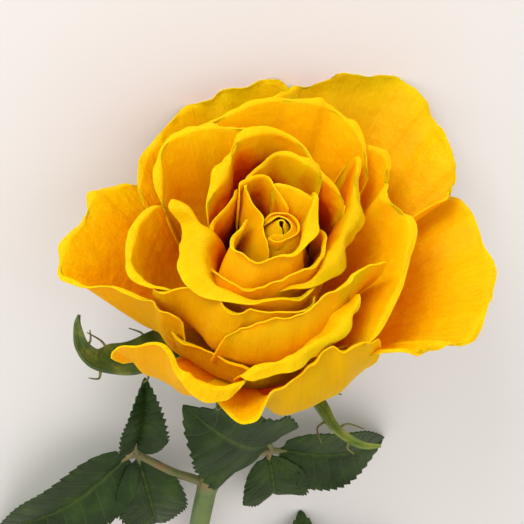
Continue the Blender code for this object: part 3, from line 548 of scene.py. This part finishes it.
# The heart petals' skin is near black red from the claw to below the crest. This is painted shade for the
# deep hollows between the inner petals, whose own colour there is orange.
HEART_FACE_PAINTED_SHADE = petal_skin("heart_face_painted_shade", (
    (0.0, (0.1, 0.004, 0.0)), (0.4, (0.13, 0.008, 0.0)), (0.5, (0.38, 0.05, 0.0)),
    (0.57, (0.74, 0.24, 0.0)), (0.64, (0.86, 0.44, 0.0)), (0.95, (0.87, 0.5, 0.0)),
    (1.0, (0.9, 0.53, 0.002))), 0.3, 0.55, 0.25)
PETAL_BACK = petal_skin("petal_back", (
    (0.0, (0.5, 0.12, 0.0)), (0.3, (0.82, 0.3, 0.0)), (0.6, (0.88, 0.39, 0.0)),
    (0.95, (0.9, 0.45, 0.0)), (1.0, (0.91, 0.5, 0.001))), 0.35, 0.6, 0.25)
OUTER_PETAL_BACK = petal_skin("outer_petal_back", (
    (0.0, (0.34, 0.26, 0.01)), (0.3, (0.66, 0.34, 0.0)), (0.6, (0.8, 0.41, 0.0)),
    (0.95, (0.86, 0.46, 0.0)), (1.0, (0.9, 0.53, 0.002))), 0.3, 0.6, 0.3)
BRUISED_BACK = bruised(PETAL_BACK, "bruised_petal_back")
SHARPEST = 50
OUTER_PETALS = ("right", "left", "low", "low_left", "low_inner", "back_right", "back_left")
# The inner petals that take the skin with painted shade deep down
HEART_PETALS = (
    "left_inner", "right_inner", "ring_top", "ring_left", "heart_top", "heart_fold", "heart_left")

for petal_name in PETALS:
    columns = max(FEWEST_COLUMNS, round(crest_length(petal_name) / PETAL_COLUMN))
    petal = lay_grid("petal_" + petal_name, columns, PETAL_ROWS,
                     lambda across, down: petal_places(petal_name, across, down))
    face = OUTER_PETAL_FACE if petal_name in OUTER_PETALS else PETAL_FACE
    petal.data.materials.append(HEART_FACE_PAINTED_SHADE if petal_name in HEART_PETALS else face)
    back = OUTER_PETAL_BACK if petal_name in OUTER_PETALS else PETAL_BACK
    petal.data.materials.append(BRUISED_BACK if petal_name == "front" else back)
    apply_new(petal, "SOLIDIFY", thickness=PETAL_THICKNESS * MM, offset=0, material_offset=1)
    smooth_to(petal, SHARPEST)
    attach(petal, "root")
    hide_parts("bloom")


# The receptacle. It is the firm green core in the middle of the bloom, which the petals grow from.
# It grew in one with the hip, and little of it shows between the petals' claws.
CORE_OUTLINE = (
    (0.0, 0.0), (6.5, 0.0), (9.0, 1.5), (11.5, 6.0), (12.0, 11.0), (11.0, 17.0), (9.5, 23.0),
    (8.0, 29.0), (5.0, 34.0), (0.0, 35.5))
SEAM_GAP = 0.001 * MM
PLANT_SHEEN_CHANGE = 0.1
PLANT_RELIEF_STRENGTH = 0.6


def close_up(piece):
    """Closes a grid's seam and its poles, and turns its faces outward."""
    select_alone(piece)
    bpy.ops.object.mode_set(mode="EDIT")
    bpy.ops.mesh.select_all(action="SELECT")
    bpy.ops.mesh.remove_doubles(threshold=SEAM_GAP)
    bpy.ops.mesh.normals_make_consistent(inside=False)
    bpy.ops.object.mode_set(mode="OBJECT")


def turned_places(outline, around, down):
    """Returns places round the bloom's axis on a smooth outline of (radius, height)."""
    radius, height = smooth_curve(outline, down).T
    return round_axis(np.maximum(radius, 0), height, 360 * around)


def plain_skin(name, stops, scale, roughness, bump_scale, bump_depth):
    """Makes a matt plant skin whose colour wanders between its stops in soft patches."""
    skin, tree, surface, place = new_skin(name)
    colour = colour_ramp(tree, patches(tree, place["Object"], scale, 0, 1), stops)
    relief = patches(tree, place["Object"], bump_scale, 0, 1)
    sheen = patches(tree, place["Object"], scale, roughness - PLANT_SHEEN_CHANGE,
                    roughness + PLANT_SHEEN_CHANGE)
    dress(tree, surface, colour, relief, bump_depth, PLANT_RELIEF_STRENGTH, sheen)
    surface["Subsurface Weight"].default_value = 0.08
    surface["Subsurface Scale"].default_value = 0.001
    return skin


receptacle = lay_grid("receptacle", 48, 32, lambda around, down: turned_places(CORE_OUTLINE, around, down))
close_up(receptacle)
receptacle.data.materials.append(plain_skin(
    "receptacle_flesh", ((0, (0.35, 0.12, 0.0)), (1, (0.55, 0.22, 0.0))), 150, 0.6, 600, 0.0003))
smooth_to(receptacle, SHARPEST)
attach(receptacle, "root")
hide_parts("bloom")


# The hip. It is the smooth green cup under the bloom that narrows to the stem, and it grew as one
# body with the receptacle. Five faint ribs run down from its sepals.
HIP_OUTLINE = (
    (0.0, -0.3), (4.5, -0.3), (6.4, -0.5), (6.9, -1.8), (6.6, -4.2), (5.4, -7.0), (4.0, -9.6),
    (3.1, -11.2), (2.9, -12.0), (0.0, -12.0))
HIP_RADIUS = 6.0
HIP_RIBS = 5
HIP_RIB = 0.14


def hip_places(around, down):
    """Returns the hip's places, with its five faint ribs."""
    radius, height = smooth_curve(HIP_OUTLINE, down).T
    radius = np.maximum(radius, 0) * (1 + HIP_RIB / HIP_RADIUS * np.cos(2 * math.pi * HIP_RIBS * around))
    return round_axis(radius, height, 360 * around)


hip = lay_grid("hip", 80, 40, hip_places)
close_up(hip)
hip.data.materials.append(plain_skin(
    "hip_skin", ((0, (0.05, 0.10, 0.02)), (0.6, (0.09, 0.16, 0.03)), (1, (0.16, 0.20, 0.04))),
    160, 0.45, 900, 0.0002))
smooth_to(hip, SHARPEST)
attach(hip, "root")
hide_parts("calyx")


# The sepals. Five narrow green leaves grow from the hip's edge under the petals. Each has a rib,
# a long tip that curls, and fine strands along its sides. Two show past the petals.
SEPAL_THICKNESS = 0.7
SEPAL_RIB = 0.5
SEPAL_RIB_WIDTH = 0.18
SEPAL_CUP = 0.22
SEPAL_EDGE_WAVE = 0.10
SEPAL_EDGE_WAVES = 23
SEPAL_RIDGE = 0.12
SEPAL_RIDGES = 9
SHARPEST_THIN = 60
STRAND_RADII = (0.38, 0.12)
STRAND_ROOT = 0.8
STRAND_BEND = 0.3
STRAND_LIFT = 0.25
STRAND_ROWS = 12
ROUTE_STEP = 0.01

# Each sepal's rib as stations (azimuth, radius, height, half width) from its root to its tip
SEPALS = {
    "left": ((184, 4, -1.6, 2.6), (188, 12, -2.0, 3.8), (192, 21, -2.0, 4.2), (195, 28, -1.0, 4.4),
             (196.5, 34, 0.6, 4.0), (195.5, 38.5, 2.6, 2.8), (192, 41.5, 6.0, 1.6), (188, 42, 9.5, 0.8),
             (186, 41.6, 12.0, 0.2)),
    "right": ((-53, 4, -1.6, 2.4), (-53, 12, -2.0, 2.8), (-53, 18, -2.6, 2.2), (-54, 24, -3.2, 1.6),
              (-55.5, 30, -3.8, 1.2), (-54, 34.5, -4.2, 1.0), (-51, 38, -4.2, 0.8),
              (-47.5, 40.3, -4.0, 0.25)),
    "front": ((28, 4, -1.6, 2.4), (28, 10, -1.8, 3.2), (28, 16, -1.2, 3.2), (28, 22, 0.4, 2.4),
              (28, 26, 1.8, 1.4), (28, 30, 3.0, 0.3)),
    "back": ((100, 4, -1.6, 2.4), (100, 8, -1.8, 3.2), (100, 12, -1.4, 3.0), (100, 16, -0.4, 2.2),
             (100, 19, 0.8, 1.3), (100, 22, 2.0, 0.3)),
    "low": ((244, 4, -1.6, 2.4), (244, 8, -1.8, 3.2), (244, 12, -2.2, 3.0), (244, 16, -2.8, 2.2),
            (244, 19, -3.4, 1.3), (244, 22, -4.0, 0.3)),
}
# Each strand as (share along the sepal, side, length, how far it sweeps on)
STRANDS = ((0.30, 1, 4.5, 0.7), (0.38, -1, 5.0, 0.6), (0.52, 1, 5.5, 0.8), (0.60, -1, 4.5, 0.9),
           (0.72, 1, 3.0, 0.8))


def frame_along(onward, upright):
    """Returns the directions across and out of a line that runs onward, as level as upright allows."""
    sideways = unit(np.cross(onward, upright))
    return sideways, unit(np.cross(sideways, onward))


def rib_frame(stations, share):
    """Returns a sepal's rib places, half widths, and the directions across it and out of it."""
    def rib_place(at):
        azimuth, radius, height, _ = smooth_curve(stations, at).T
        return round_axis(radius, height, azimuth)

    onward = rib_place(np.minimum(share + ROUTE_STEP, 1)) - rib_place(np.maximum(share - ROUTE_STEP, 0))
    sideways, upward = frame_along(onward, BLOOM_AXES[:, 2])
    return rib_place(share), smooth_curve(stations, share)[:, 3], sideways, upward


def sepal_places(stations, across, along):
    """Returns a sepal's places: a shallow trough with a ribbed back and a softly waved edge."""
    rib, half_width, sideways, upward = rib_frame(stations, along)
    side = 2 * across - 1
    width = half_width * (1 + SEPAL_EDGE_WAVE * np.sin(SEPAL_EDGE_WAVES * along + 2 * side))
    lift = SEPAL_CUP * width * side ** 2
    lift -= SEPAL_RIB * np.exp(-(side / SEPAL_RIB_WIDTH) ** 2) * (1 - along)
    lift += SEPAL_RIDGE * np.sin(SEPAL_RIDGES * side) * (1 - along)
    return rib + sideways * (side * width)[:, None] + upward * lift[:, None]


def way_along(route, share):
    """Returns the way that a smooth route runs at those shares of its length."""
    later, sooner = np.minimum(share + ROUTE_STEP, 1), np.maximum(share - ROUTE_STEP, 0)
    return smooth_curve(route, later) - smooth_curve(route, sooner)


def tube_places(route, radii, upright, rows, around, along, caps=1):
    """Returns places round a smooth route between two radii, with a flat cap on each end."""
    share = np.clip((along * rows - caps) / (rows - 2 * caps), 0, 1)
    closed = np.clip(np.minimum(along, 1 - along) * rows / caps, 0, 1)
    size = closed * (radii[0] + (radii[1] - radii[0]) * share)
    sideways, upward = frame_along(way_along(route, share), upright)
    turn = 2 * math.pi * around
    ring = sideways * np.cos(turn)[:, None] + upward * np.sin(turn)[:, None]
    return smooth_curve(route, share) + ring * size[:, None]


def strand_places(stations, strand, around, along):
    """Returns the places of one fine strand, which leaves the sepal's edge and sweeps to its tip."""
    share, side, length, sweep = strand
    rib, half_width, sideways, upward = (part[0] for part in rib_frame(stations, np.array([share])))
    onward = np.cross(upward, sideways)
    root = rib + sideways * side * half_width * STRAND_ROOT
    bend = root + (sideways * side + onward * sweep * STRAND_BEND) * length / 2
    tip = root + (sideways * side * STRAND_ROOT + onward * sweep + upward * STRAND_LIFT) * length
    return tube_places((root, bend, tip), STRAND_RADII, upward, STRAND_ROWS, around, along)


SEPAL_SKIN = plain_skin("sepal_skin", (
    (0, (0.02, 0.05, 0.006)), (0.55, (0.045, 0.09, 0.01)), (1, (0.13, 0.16, 0.02))),
    220, 0.5, 1200, 0.0002)
# A paler copy of the sepal skin, which the right sepal takes
PALER_SEPAL_SKIN = plain_skin("paler_sepal_skin", (
    (0, (0.06, 0.12, 0.012)), (0.55, (0.12, 0.2, 0.02)), (1, (0.24, 0.27, 0.04))),
    220, 0.5, 1200, 0.0002)
STRAND_SKIN = plain_skin("strand_skin", (
    (0, (0.09, 0.06, 0.015)), (0.5, (0.12, 0.12, 0.02)), (1, (0.16, 0.2, 0.04))),
    260, 0.5, 1200, 0.0001)

for sepal_name, sepal_stations in SEPALS.items():
    sepal = lay_grid("sepal_" + sepal_name, 16, 60,
                     lambda across, along: sepal_places(sepal_stations, across, along))
    apply_new(sepal, "SOLIDIFY", thickness=SEPAL_THICKNESS * MM, offset=0)
    sepal.data.materials.append(PALER_SEPAL_SKIN if sepal_name == "right" else SEPAL_SKIN)
    pieces = [sepal]
    for number, strand in enumerate(STRANDS):
        hair = lay_grid(f"strand_{sepal_name}_{number + 1}", 8, STRAND_ROWS,
                        lambda around, along: strand_places(sepal_stations, strand, around, along))
        close_up(hair)
        hair.data.materials.append(STRAND_SKIN)
        pieces.append(hair)
    for piece in pieces:
        smooth_to(piece, SHARPEST_THIN)
        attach(piece, "root")
        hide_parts("calyx")


# The stem. It is one green shoot that runs back from the hip over the table to its cut end. It is
# round, a little swollen where leaves grow, and reddish brown in places.
STEM_ROUTE = TABLE_SHIFT + np.array((
    (0.0, 11.6, 22.8), (0.6, 28.0, 17.2), (1.8, 48.0, 12.0), (3.4, 72.0, 8.2), (5.0, 100.0, 5.4),
    (6.0, 130.0, 3.8), (5.6, 165.0, 3.0), (3.6, 206.0, 2.75)))
STEM_RADII = (2.5, 2.75)
STEM_ROWS = 240
STEM_CAP = 4
STEM_RIDGES = 7
STEM_RIDGE = 0.02
STEM_TWIST = 9
STEM_UNEVENNESS = 0.012
STEM_LUMPS = 60
JOINT_SWELLING = 0.16
JOINT_REACH = 0.012
# Where each leaf grows, as a share of the stem's length
LEAF_JOINTS = {"leaf_left": 0.393, "leaf_right": 0.30, "leaf_back": 0.735}
UP = np.array((0.0, 0.0, 1.0))


def stem_places(around, along):
    """Returns the stem's places, with its faint lengthways ridges and its swollen leaf joints."""
    plain = tube_places(STEM_ROUTE, STEM_RADII, UP, STEM_ROWS, around, along, STEM_CAP)
    centre = tube_places(STEM_ROUTE, (0.0, 0.0), UP, STEM_ROWS, around, along, STEM_CAP)
    swelling = STEM_RIDGE * np.sin(2 * math.pi * STEM_RIDGES * around + STEM_TWIST * along)
    swelling += STEM_UNEVENNESS * np.sin(STEM_LUMPS * along)
    for joint in LEAF_JOINTS.values():
        swelling += JOINT_SWELLING * np.exp(-((along - joint) / JOINT_REACH) ** 2)
    place = centre + (plain - centre) * (1 + swelling)[:, None]
    place[:, 2] = np.maximum(place[:, 2], 0)
    return place


STEM_SKIN = plain_skin("stem_skin", (
    (0, (0.06, 0.11, 0.02)), (0.6, (0.11, 0.18, 0.04)), (1, (0.20, 0.15, 0.06))),
    90, 0.42, 1100, 0.0002)

stem = lay_grid("stem_shoot", 40, STEM_ROWS, stem_places)
close_up(stem)
stem.data.materials.append(STEM_SKIN)
smooth_to(stem, SHARPEST)
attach(stem, "root")
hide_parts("stem")


# The prickles. They are outgrowths of the stem's bark, reddish, broad at the base, and drawn to a
# sharp tip that leans back to the cut end.
PRICKLE_LENGTH = 4.0
PRICKLE_ROOT = 0.7
PRICKLE_LEAN = 1.6
PRICKLE_BASE = (3.0, 1.35)
PRICKLE_RISE = 0.8
PRICKLE_TAPER = 1.7
PRICKLE_ROWS = 14
PRICKLE_SKIN = plain_skin("prickle_skin", (
    (0, (0.10, 0.10, 0.03)), (0.5, (0.22, 0.09, 0.04)), (1, (0.30, 0.10, 0.05))),
    300, 0.35, 1500, 0.0001)

# Each prickle as (share of the stem's length, degrees round it from its side)
PRICKLES = ((0.22, 70), (0.33, 15), (0.50, 150), (0.58, 60), (0.66, 10), (0.80, 120), (0.90, 60))


def stem_centre(share):
    """Returns the stem's centre at a share of its length."""
    return smooth_curve(STEM_ROUTE, np.array([share]))[0]


def prickle_places(share, degrees, around, along):
    """Returns one prickle's places: a long low base along the stem that narrows to a leaning tip."""
    onward = unit(way_along(STEM_ROUTE, np.array([share]))[0])
    sideways, upward = frame_along(onward, UP)
    round_stem = math.radians(degrees)
    outward = sideways * math.cos(round_stem) + upward * math.sin(round_stem)
    across = np.cross(onward, outward)
    turn = 2 * math.pi * around
    spread = (1 - along) ** PRICKLE_TAPER * np.where(along < 0.5 / PRICKLE_ROWS, 0, 1)
    ring = (onward * (PRICKLE_BASE[0] * np.cos(turn) * spread)[:, None]
            + across * (PRICKLE_BASE[1] * np.sin(turn) * spread)[:, None])
    rise = along ** PRICKLE_RISE * (PRICKLE_LENGTH + PRICKLE_ROOT)
    lean = onward * (PRICKLE_LEAN * along ** 2)[:, None]
    root = stem_centre(share) + outward * (STEM_RADII[0] - PRICKLE_ROOT)
    return root + outward * rise[:, None] + ring + lean


for number, (share, degrees) in enumerate(PRICKLES):
    prickle = lay_grid(f"prickle_{number + 1}", 20, PRICKLE_ROWS,
                       lambda around, along: prickle_places(share, degrees, around, along))
    close_up(prickle)
    prickle.data.materials.append(PRICKLE_SKIN)
    smooth_to(prickle, SHARPEST_THIN)
    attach(prickle, "root")
    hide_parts("stem")


# The leaves. Each is one compound leaf: a thin stalk with an end leaflet and pairs at its sides.
# The leaflets are thin, toothed, folded along the rib and sunk along their veins, and their
# undersides are paler.
LEAF_THICKNESS = 0.4
LEAF_BASE = 0.04
LEAF_WIDEST = 0.72
LEAF_FULLNESS = 0.8
LEAF_TEETH = 17
LEAF_TOOTH = 0.9
ROWS_A_TOOTH = 6
LEAF_COLUMNS = 24
LEAF_VEINS = 8
LEAF_VEIN_SWEEP = 0.9
LEAF_VEIN_DEPTH = 0.25
# Where the tint of a side vein and of the rib ends, and where it is full
LEAF_VEIN_TINT = (0.2, 0.02)
LEAF_RIB_TINT = (0.09, 0.03)
LEAF_NET = 900
LEAF_RELIEF = 0.0003
LEAF_SHEEN_CHANGE = 0.07
LEAF_RIB_DEPTH = 0.5
LEAF_RIB_WIDTH = 0.9
LEAF_WAVE = 0.09
LEAF_WAVE_COUNT = (1.2, 2.6)
LEAF_WAVE_START = (0, 1)
LEAF_WAVE_SEED = 11
STALK_RADII = (1.3, 0.95)
STALK_ROWS = 40
STALKLET_RADII = (0.9, 0.5)
STALKLET_ROWS = 16
STALKLET_REACH = 0.1

# Each leaf as (where its stalk bends, the joints along it, its leaflets), and each leaflet as
# (which joint it grows from, its base, its tip, half width, arch, fold along the rib)
LEAVES = {
    "leaf_left": ((13.0, 59.0, 10.0), ((22.0, 53.0, 8.5),), (
        (0, (24.5, 54.0, 8.3), (56.0, 81.0, 0.6), 11.0, 5.0, 0.25),
        (0, (22.5, 51.0, 8.5), (22.0, 24.0, 14.0), 5.5, 2.0, 0.8),
        (0, (21.5, 55.0, 8.3), (14.0, 86.0, 0.6), 8.5, 4.0, 0.3))),
    "leaf_right": ((-6.0, 54.5, 11.5), ((-13.0, 56.0, 9.5),), (
        (0, (-15.5, 56.5, 9.4), (-47.0, 65.0, 0.6), 10.0, 4.0, 0.25),
        (0, (-12.0, 53.0, 10.5), (14.0, 27.0, 22.0), 13.0, 6.0, 0.12),
        (0, (-12.5, 58.0, 9.4), (-17.0, 80.0, 0.6), 8.5, 4.0, 0.3))),
    "leaf_back": ((-3.0, 128.0, 5.6), ((-12.0, 124.0, 6.5), (-25.0, 118.0, 6.0)), (
        (0, (-12.5, 122.0, 6.5), (-9.0, 95.0, 0.6), 7.5, 3.0, 0.3),
        (0, (-12.5, 126.0, 6.5), (-21.0, 152.0, 0.6), 7.5, 3.0, 0.3),
        (1, (-25.0, 116.0, 6.0), (-26.0, 88.0, 0.6), 8.5, 4.0, 0.25),
        (1, (-25.5, 120.0, 6.0), (-38.0, 147.0, 0.6), 8.5, 4.0, 0.3),
        (1, (-28.0, 117.0, 6.0), (-58.0, 106.0, 0.6), 10.0, 4.0, 0.25))),
}


def leaflet_places(leaflet, wave, across, along):
    """Returns a leaflet's places: its toothed outline, its arch and fold, and its sunken veins."""
    base, tip, half_width, arch, fold = leaflet
    length = np.linalg.norm(tip - base)
    onward = (tip - base) / length
    sideways, upward = frame_along(onward, UP)
    side = 2 * across - 1
    edge = np.abs(side)
    down = (LEAF_BASE + (1 - LEAF_BASE) * along) ** LEAF_WIDEST
    tooth = LEAF_TOOTH * ((along * LEAF_TEETH) % 1) * np.sin(math.pi * along) ** 0.5 * edge ** 4
    width = half_width * np.sin(math.pi * down) ** LEAF_FULLNESS + tooth
    between_veins = np.abs(np.sin(math.pi * (LEAF_VEINS * along - LEAF_VEIN_SWEEP * edge))) ** 0.7
    count, start = wave
    swing = np.sin(2 * math.pi * (count * along + start + side / 4))
    lift = arch * np.sin(math.pi * along) + fold * width * edge
    lift += LEAF_VEIN_DEPTH * (between_veins - 0.5) * (1 - edge ** 4)
    lift -= LEAF_RIB_DEPTH * np.exp(-(edge * width / LEAF_RIB_WIDTH) ** 2)
    lift += LEAF_WAVE * width * edge ** 2 * swing
    place = (base + onward * (along * length + tooth)[:, None] + sideways * (side * width)[:, None]
             + upward * lift[:, None])
    place[:, 2] = np.maximum(place[:, 2], LEAF_THICKNESS / 2)
    return place


def leaf_skin(name, blade, vein, roughness, gloss):
    """Makes a leaf's skin with a rib, its side veins and a fine net between them."""
    skin, tree, surface, place = new_skin(name)
    split = shader_node(tree, "ShaderNodeSeparateXYZ", {"Vector": place["UV"]}).outputs
    side = worked_out(tree, "SUBTRACT", worked_out(tree, "MULTIPLY", split["X"], 2), 1)
    edge = worked_out(tree, "ABSOLUTE", side)
    sweep = worked_out(tree, "MULTIPLY", edge, LEAF_VEIN_SWEEP)
    sweep = worked_out(tree, "SUBTRACT", worked_out(tree, "MULTIPLY", split["Y"], LEAF_VEINS), sweep)
    swing = worked_out(tree, "SINE", worked_out(tree, "MULTIPLY", sweep, math.pi))
    side_vein = mask(tree, worked_out(tree, "ABSOLUTE", swing), *LEAF_VEIN_TINT)
    rib = mask(tree, edge, *LEAF_RIB_TINT)
    veins = worked_out(tree, "MAXIMUM", rib, worked_out(tree, "MULTIPLY", side_vein, 0.6))
    net = shader_node(tree, "ShaderNodeTexVoronoi", {"Vector": place["Object"], "Scale": LEAF_NET},
                      feature="DISTANCE_TO_EDGE").outputs["Distance"]
    blade_colour = colour_ramp(tree, patches(tree, place["Object"], 120, 0, 1), blade)
    colour = blended(tree, worked_out(tree, "MULTIPLY", veins, 0.75), blade_colour, (*vein, 1))
    sunken = worked_out(tree, "MULTIPLY", veins, -1.2)
    relief = worked_out(tree, "ADD", sunken, worked_out(tree, "MULTIPLY", net, 1.5))
    sheen = patches(tree, place["Object"], 90, roughness - LEAF_SHEEN_CHANGE,
                    roughness + LEAF_SHEEN_CHANGE)
    dress(tree, surface, colour, relief, LEAF_RELIEF, 0.5, sheen)
    surface["Specular IOR Level"].default_value = gloss
    surface["Subsurface Weight"].default_value = 0.1
    surface["Subsurface Radius"].default_value = (0.4, 1.0, 0.1)
    surface["Subsurface Scale"].default_value = 0.0008
    return skin


LEAF_FACE = leaf_skin("leaf_face", (
    (0, (0.008, 0.024, 0.003)), (0.5, (0.014, 0.04, 0.005)), (1, (0.032, 0.068, 0.008))),
    (0.05, 0.095, 0.015), 0.5, 0.22)
LEAF_BACK = leaf_skin("leaf_back_skin", (
    (0, (0.09, 0.13, 0.06)), (1, (0.14, 0.19, 0.09))),
    (0.22, 0.25, 0.13), 0.6, 0.3)
STALK_SKIN = plain_skin("stalk_skin", (
    (0, (0.08, 0.13, 0.03)), (0.55, (0.16, 0.14, 0.05)), (1, (0.28, 0.09, 0.05))),
    130, 0.45, 1200, 0.0002)

wave_draw = np.random.default_rng(LEAF_WAVE_SEED)
for leaf_name, (bend, joints, leaflets) in LEAVES.items():
    bend, joints = TABLE_SHIFT + bend, TABLE_SHIFT + joints
    root = stem_centre(LEAF_JOINTS[leaf_name])
    route = (root, (root + bend) / 2, bend, *joints)
    stalk = lay_grid(leaf_name + "_stalk", 14, STALK_ROWS,
                     lambda around, along: tube_places(route, STALK_RADII, UP, STALK_ROWS, around, along))
    close_up(stalk)
    stalk.data.materials.append(STALK_SKIN)
    pieces = [stalk]
    for number, (joint, base, tip, *shape) in enumerate(leaflets):
        base, tip = TABLE_SHIFT + base, TABLE_SHIFT + tip
        stalklet_route = (joints[joint], base, base + (tip - base) * STALKLET_REACH)
        stalklet = lay_grid(
            f"{leaf_name}_stalklet_{number + 1}", 12, STALKLET_ROWS,
            lambda around, along: tube_places(
                stalklet_route, STALKLET_RADII, UP, STALKLET_ROWS, around, along))
        close_up(stalklet)
        stalklet.data.materials.append(STALK_SKIN)
        wave = (wave_draw.uniform(*LEAF_WAVE_COUNT), wave_draw.uniform(*LEAF_WAVE_START))
        leaflet = lay_grid(
            f"{leaf_name}_leaflet_{number + 1}", LEAF_COLUMNS, LEAF_TEETH * ROWS_A_TOOTH,
            lambda across, along: leaflet_places((base, tip, *shape), wave, across, along))
        leaflet.data.materials.append(LEAF_FACE)
        leaflet.data.materials.append(LEAF_BACK)
        apply_new(leaflet, "SOLIDIFY", thickness=LEAF_THICKNESS * MM, offset=0, material_offset=1)
        pieces += [stalklet, leaflet]
    for piece in pieces:
        smooth_to(piece, SHARPEST_THIN)
        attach(piece, "root")
        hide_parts(leaf_name)


# The table is a plain pale surface under the rose. It isn't part of the rose.
TABLE_SIDE = 8
TABLE_GREY = (0.74, 0.76, 0.8, 1)
TABLE_SHEEN = (12, 0.6, 0.7)

bpy.ops.object.select_all(action="DESELECT")
bpy.ops.mesh.primitive_plane_add(size=TABLE_SIDE)
table = bpy.context.object
table.name = "table"
table_skin, tree, surface, place = new_skin("table_skin")
tree.links.new(patches(tree, place["Object"], *TABLE_SHEEN), surface["Roughness"])
surface["Base Color"].default_value = TABLE_GREY
table.data.materials.append(table_skin)


# The light is one large soft window in front of the bloom, with a pale, warm room round it. Their
# places are in metres.
KEY_PLACE = Vector((0.436, -0.943, 0.386))
KEY_AIM = Vector((0.005, -0.109, 0.044))
KEY_SIZE = 0.5
KEY_ENERGY = 6.7
KEY_COLOUR = (1.0, 0.97, 0.92)
ROOM_COLOUR = (1.0, 0.92, 0.83, 1)
ROOM_STRENGTH = 1.02

bpy.ops.object.light_add(type="AREA", location=KEY_PLACE)
key = bpy.context.object
key.rotation_euler = (KEY_AIM - KEY_PLACE).to_track_quat("-Z", "Y").to_euler()
key.data.shape = "DISK"
key.data.size = KEY_SIZE
key.data.energy = KEY_ENERGY
key.data.color = KEY_COLOUR
room = bpy.data.worlds.new("room")
bpy.context.scene.world = room
room.use_nodes = True
room.node_tree.nodes["Background"].inputs["Color"].default_value = ROOM_COLOUR
room.node_tree.nodes["Background"].inputs["Strength"].default_value = ROOM_STRENGTH


# The camera looks down on the open bloom from in front. Its place is in metres, its turn is in
# degrees, and its lens is in millimetres.
CAMERA_PLACE = (0.1038, -0.35703, 0.36835)
CAMERA_TURN = (-37.315, -13.872, -175.823)
CAMERA_LENS = 134.2
CAMERA_SENSOR = 36
CAMERA_REACH = (0.01, 20)

bpy.ops.object.camera_add(location=CAMERA_PLACE, rotation=np.radians(CAMERA_TURN))
camera = bpy.context.object
camera.data.lens = CAMERA_LENS
camera.data.sensor_width = CAMERA_SENSOR
camera.data.clip_start, camera.data.clip_end = CAMERA_REACH
bpy.context.scene.camera = camera
bpy.context.scene.view_settings.view_transform = "Standard"
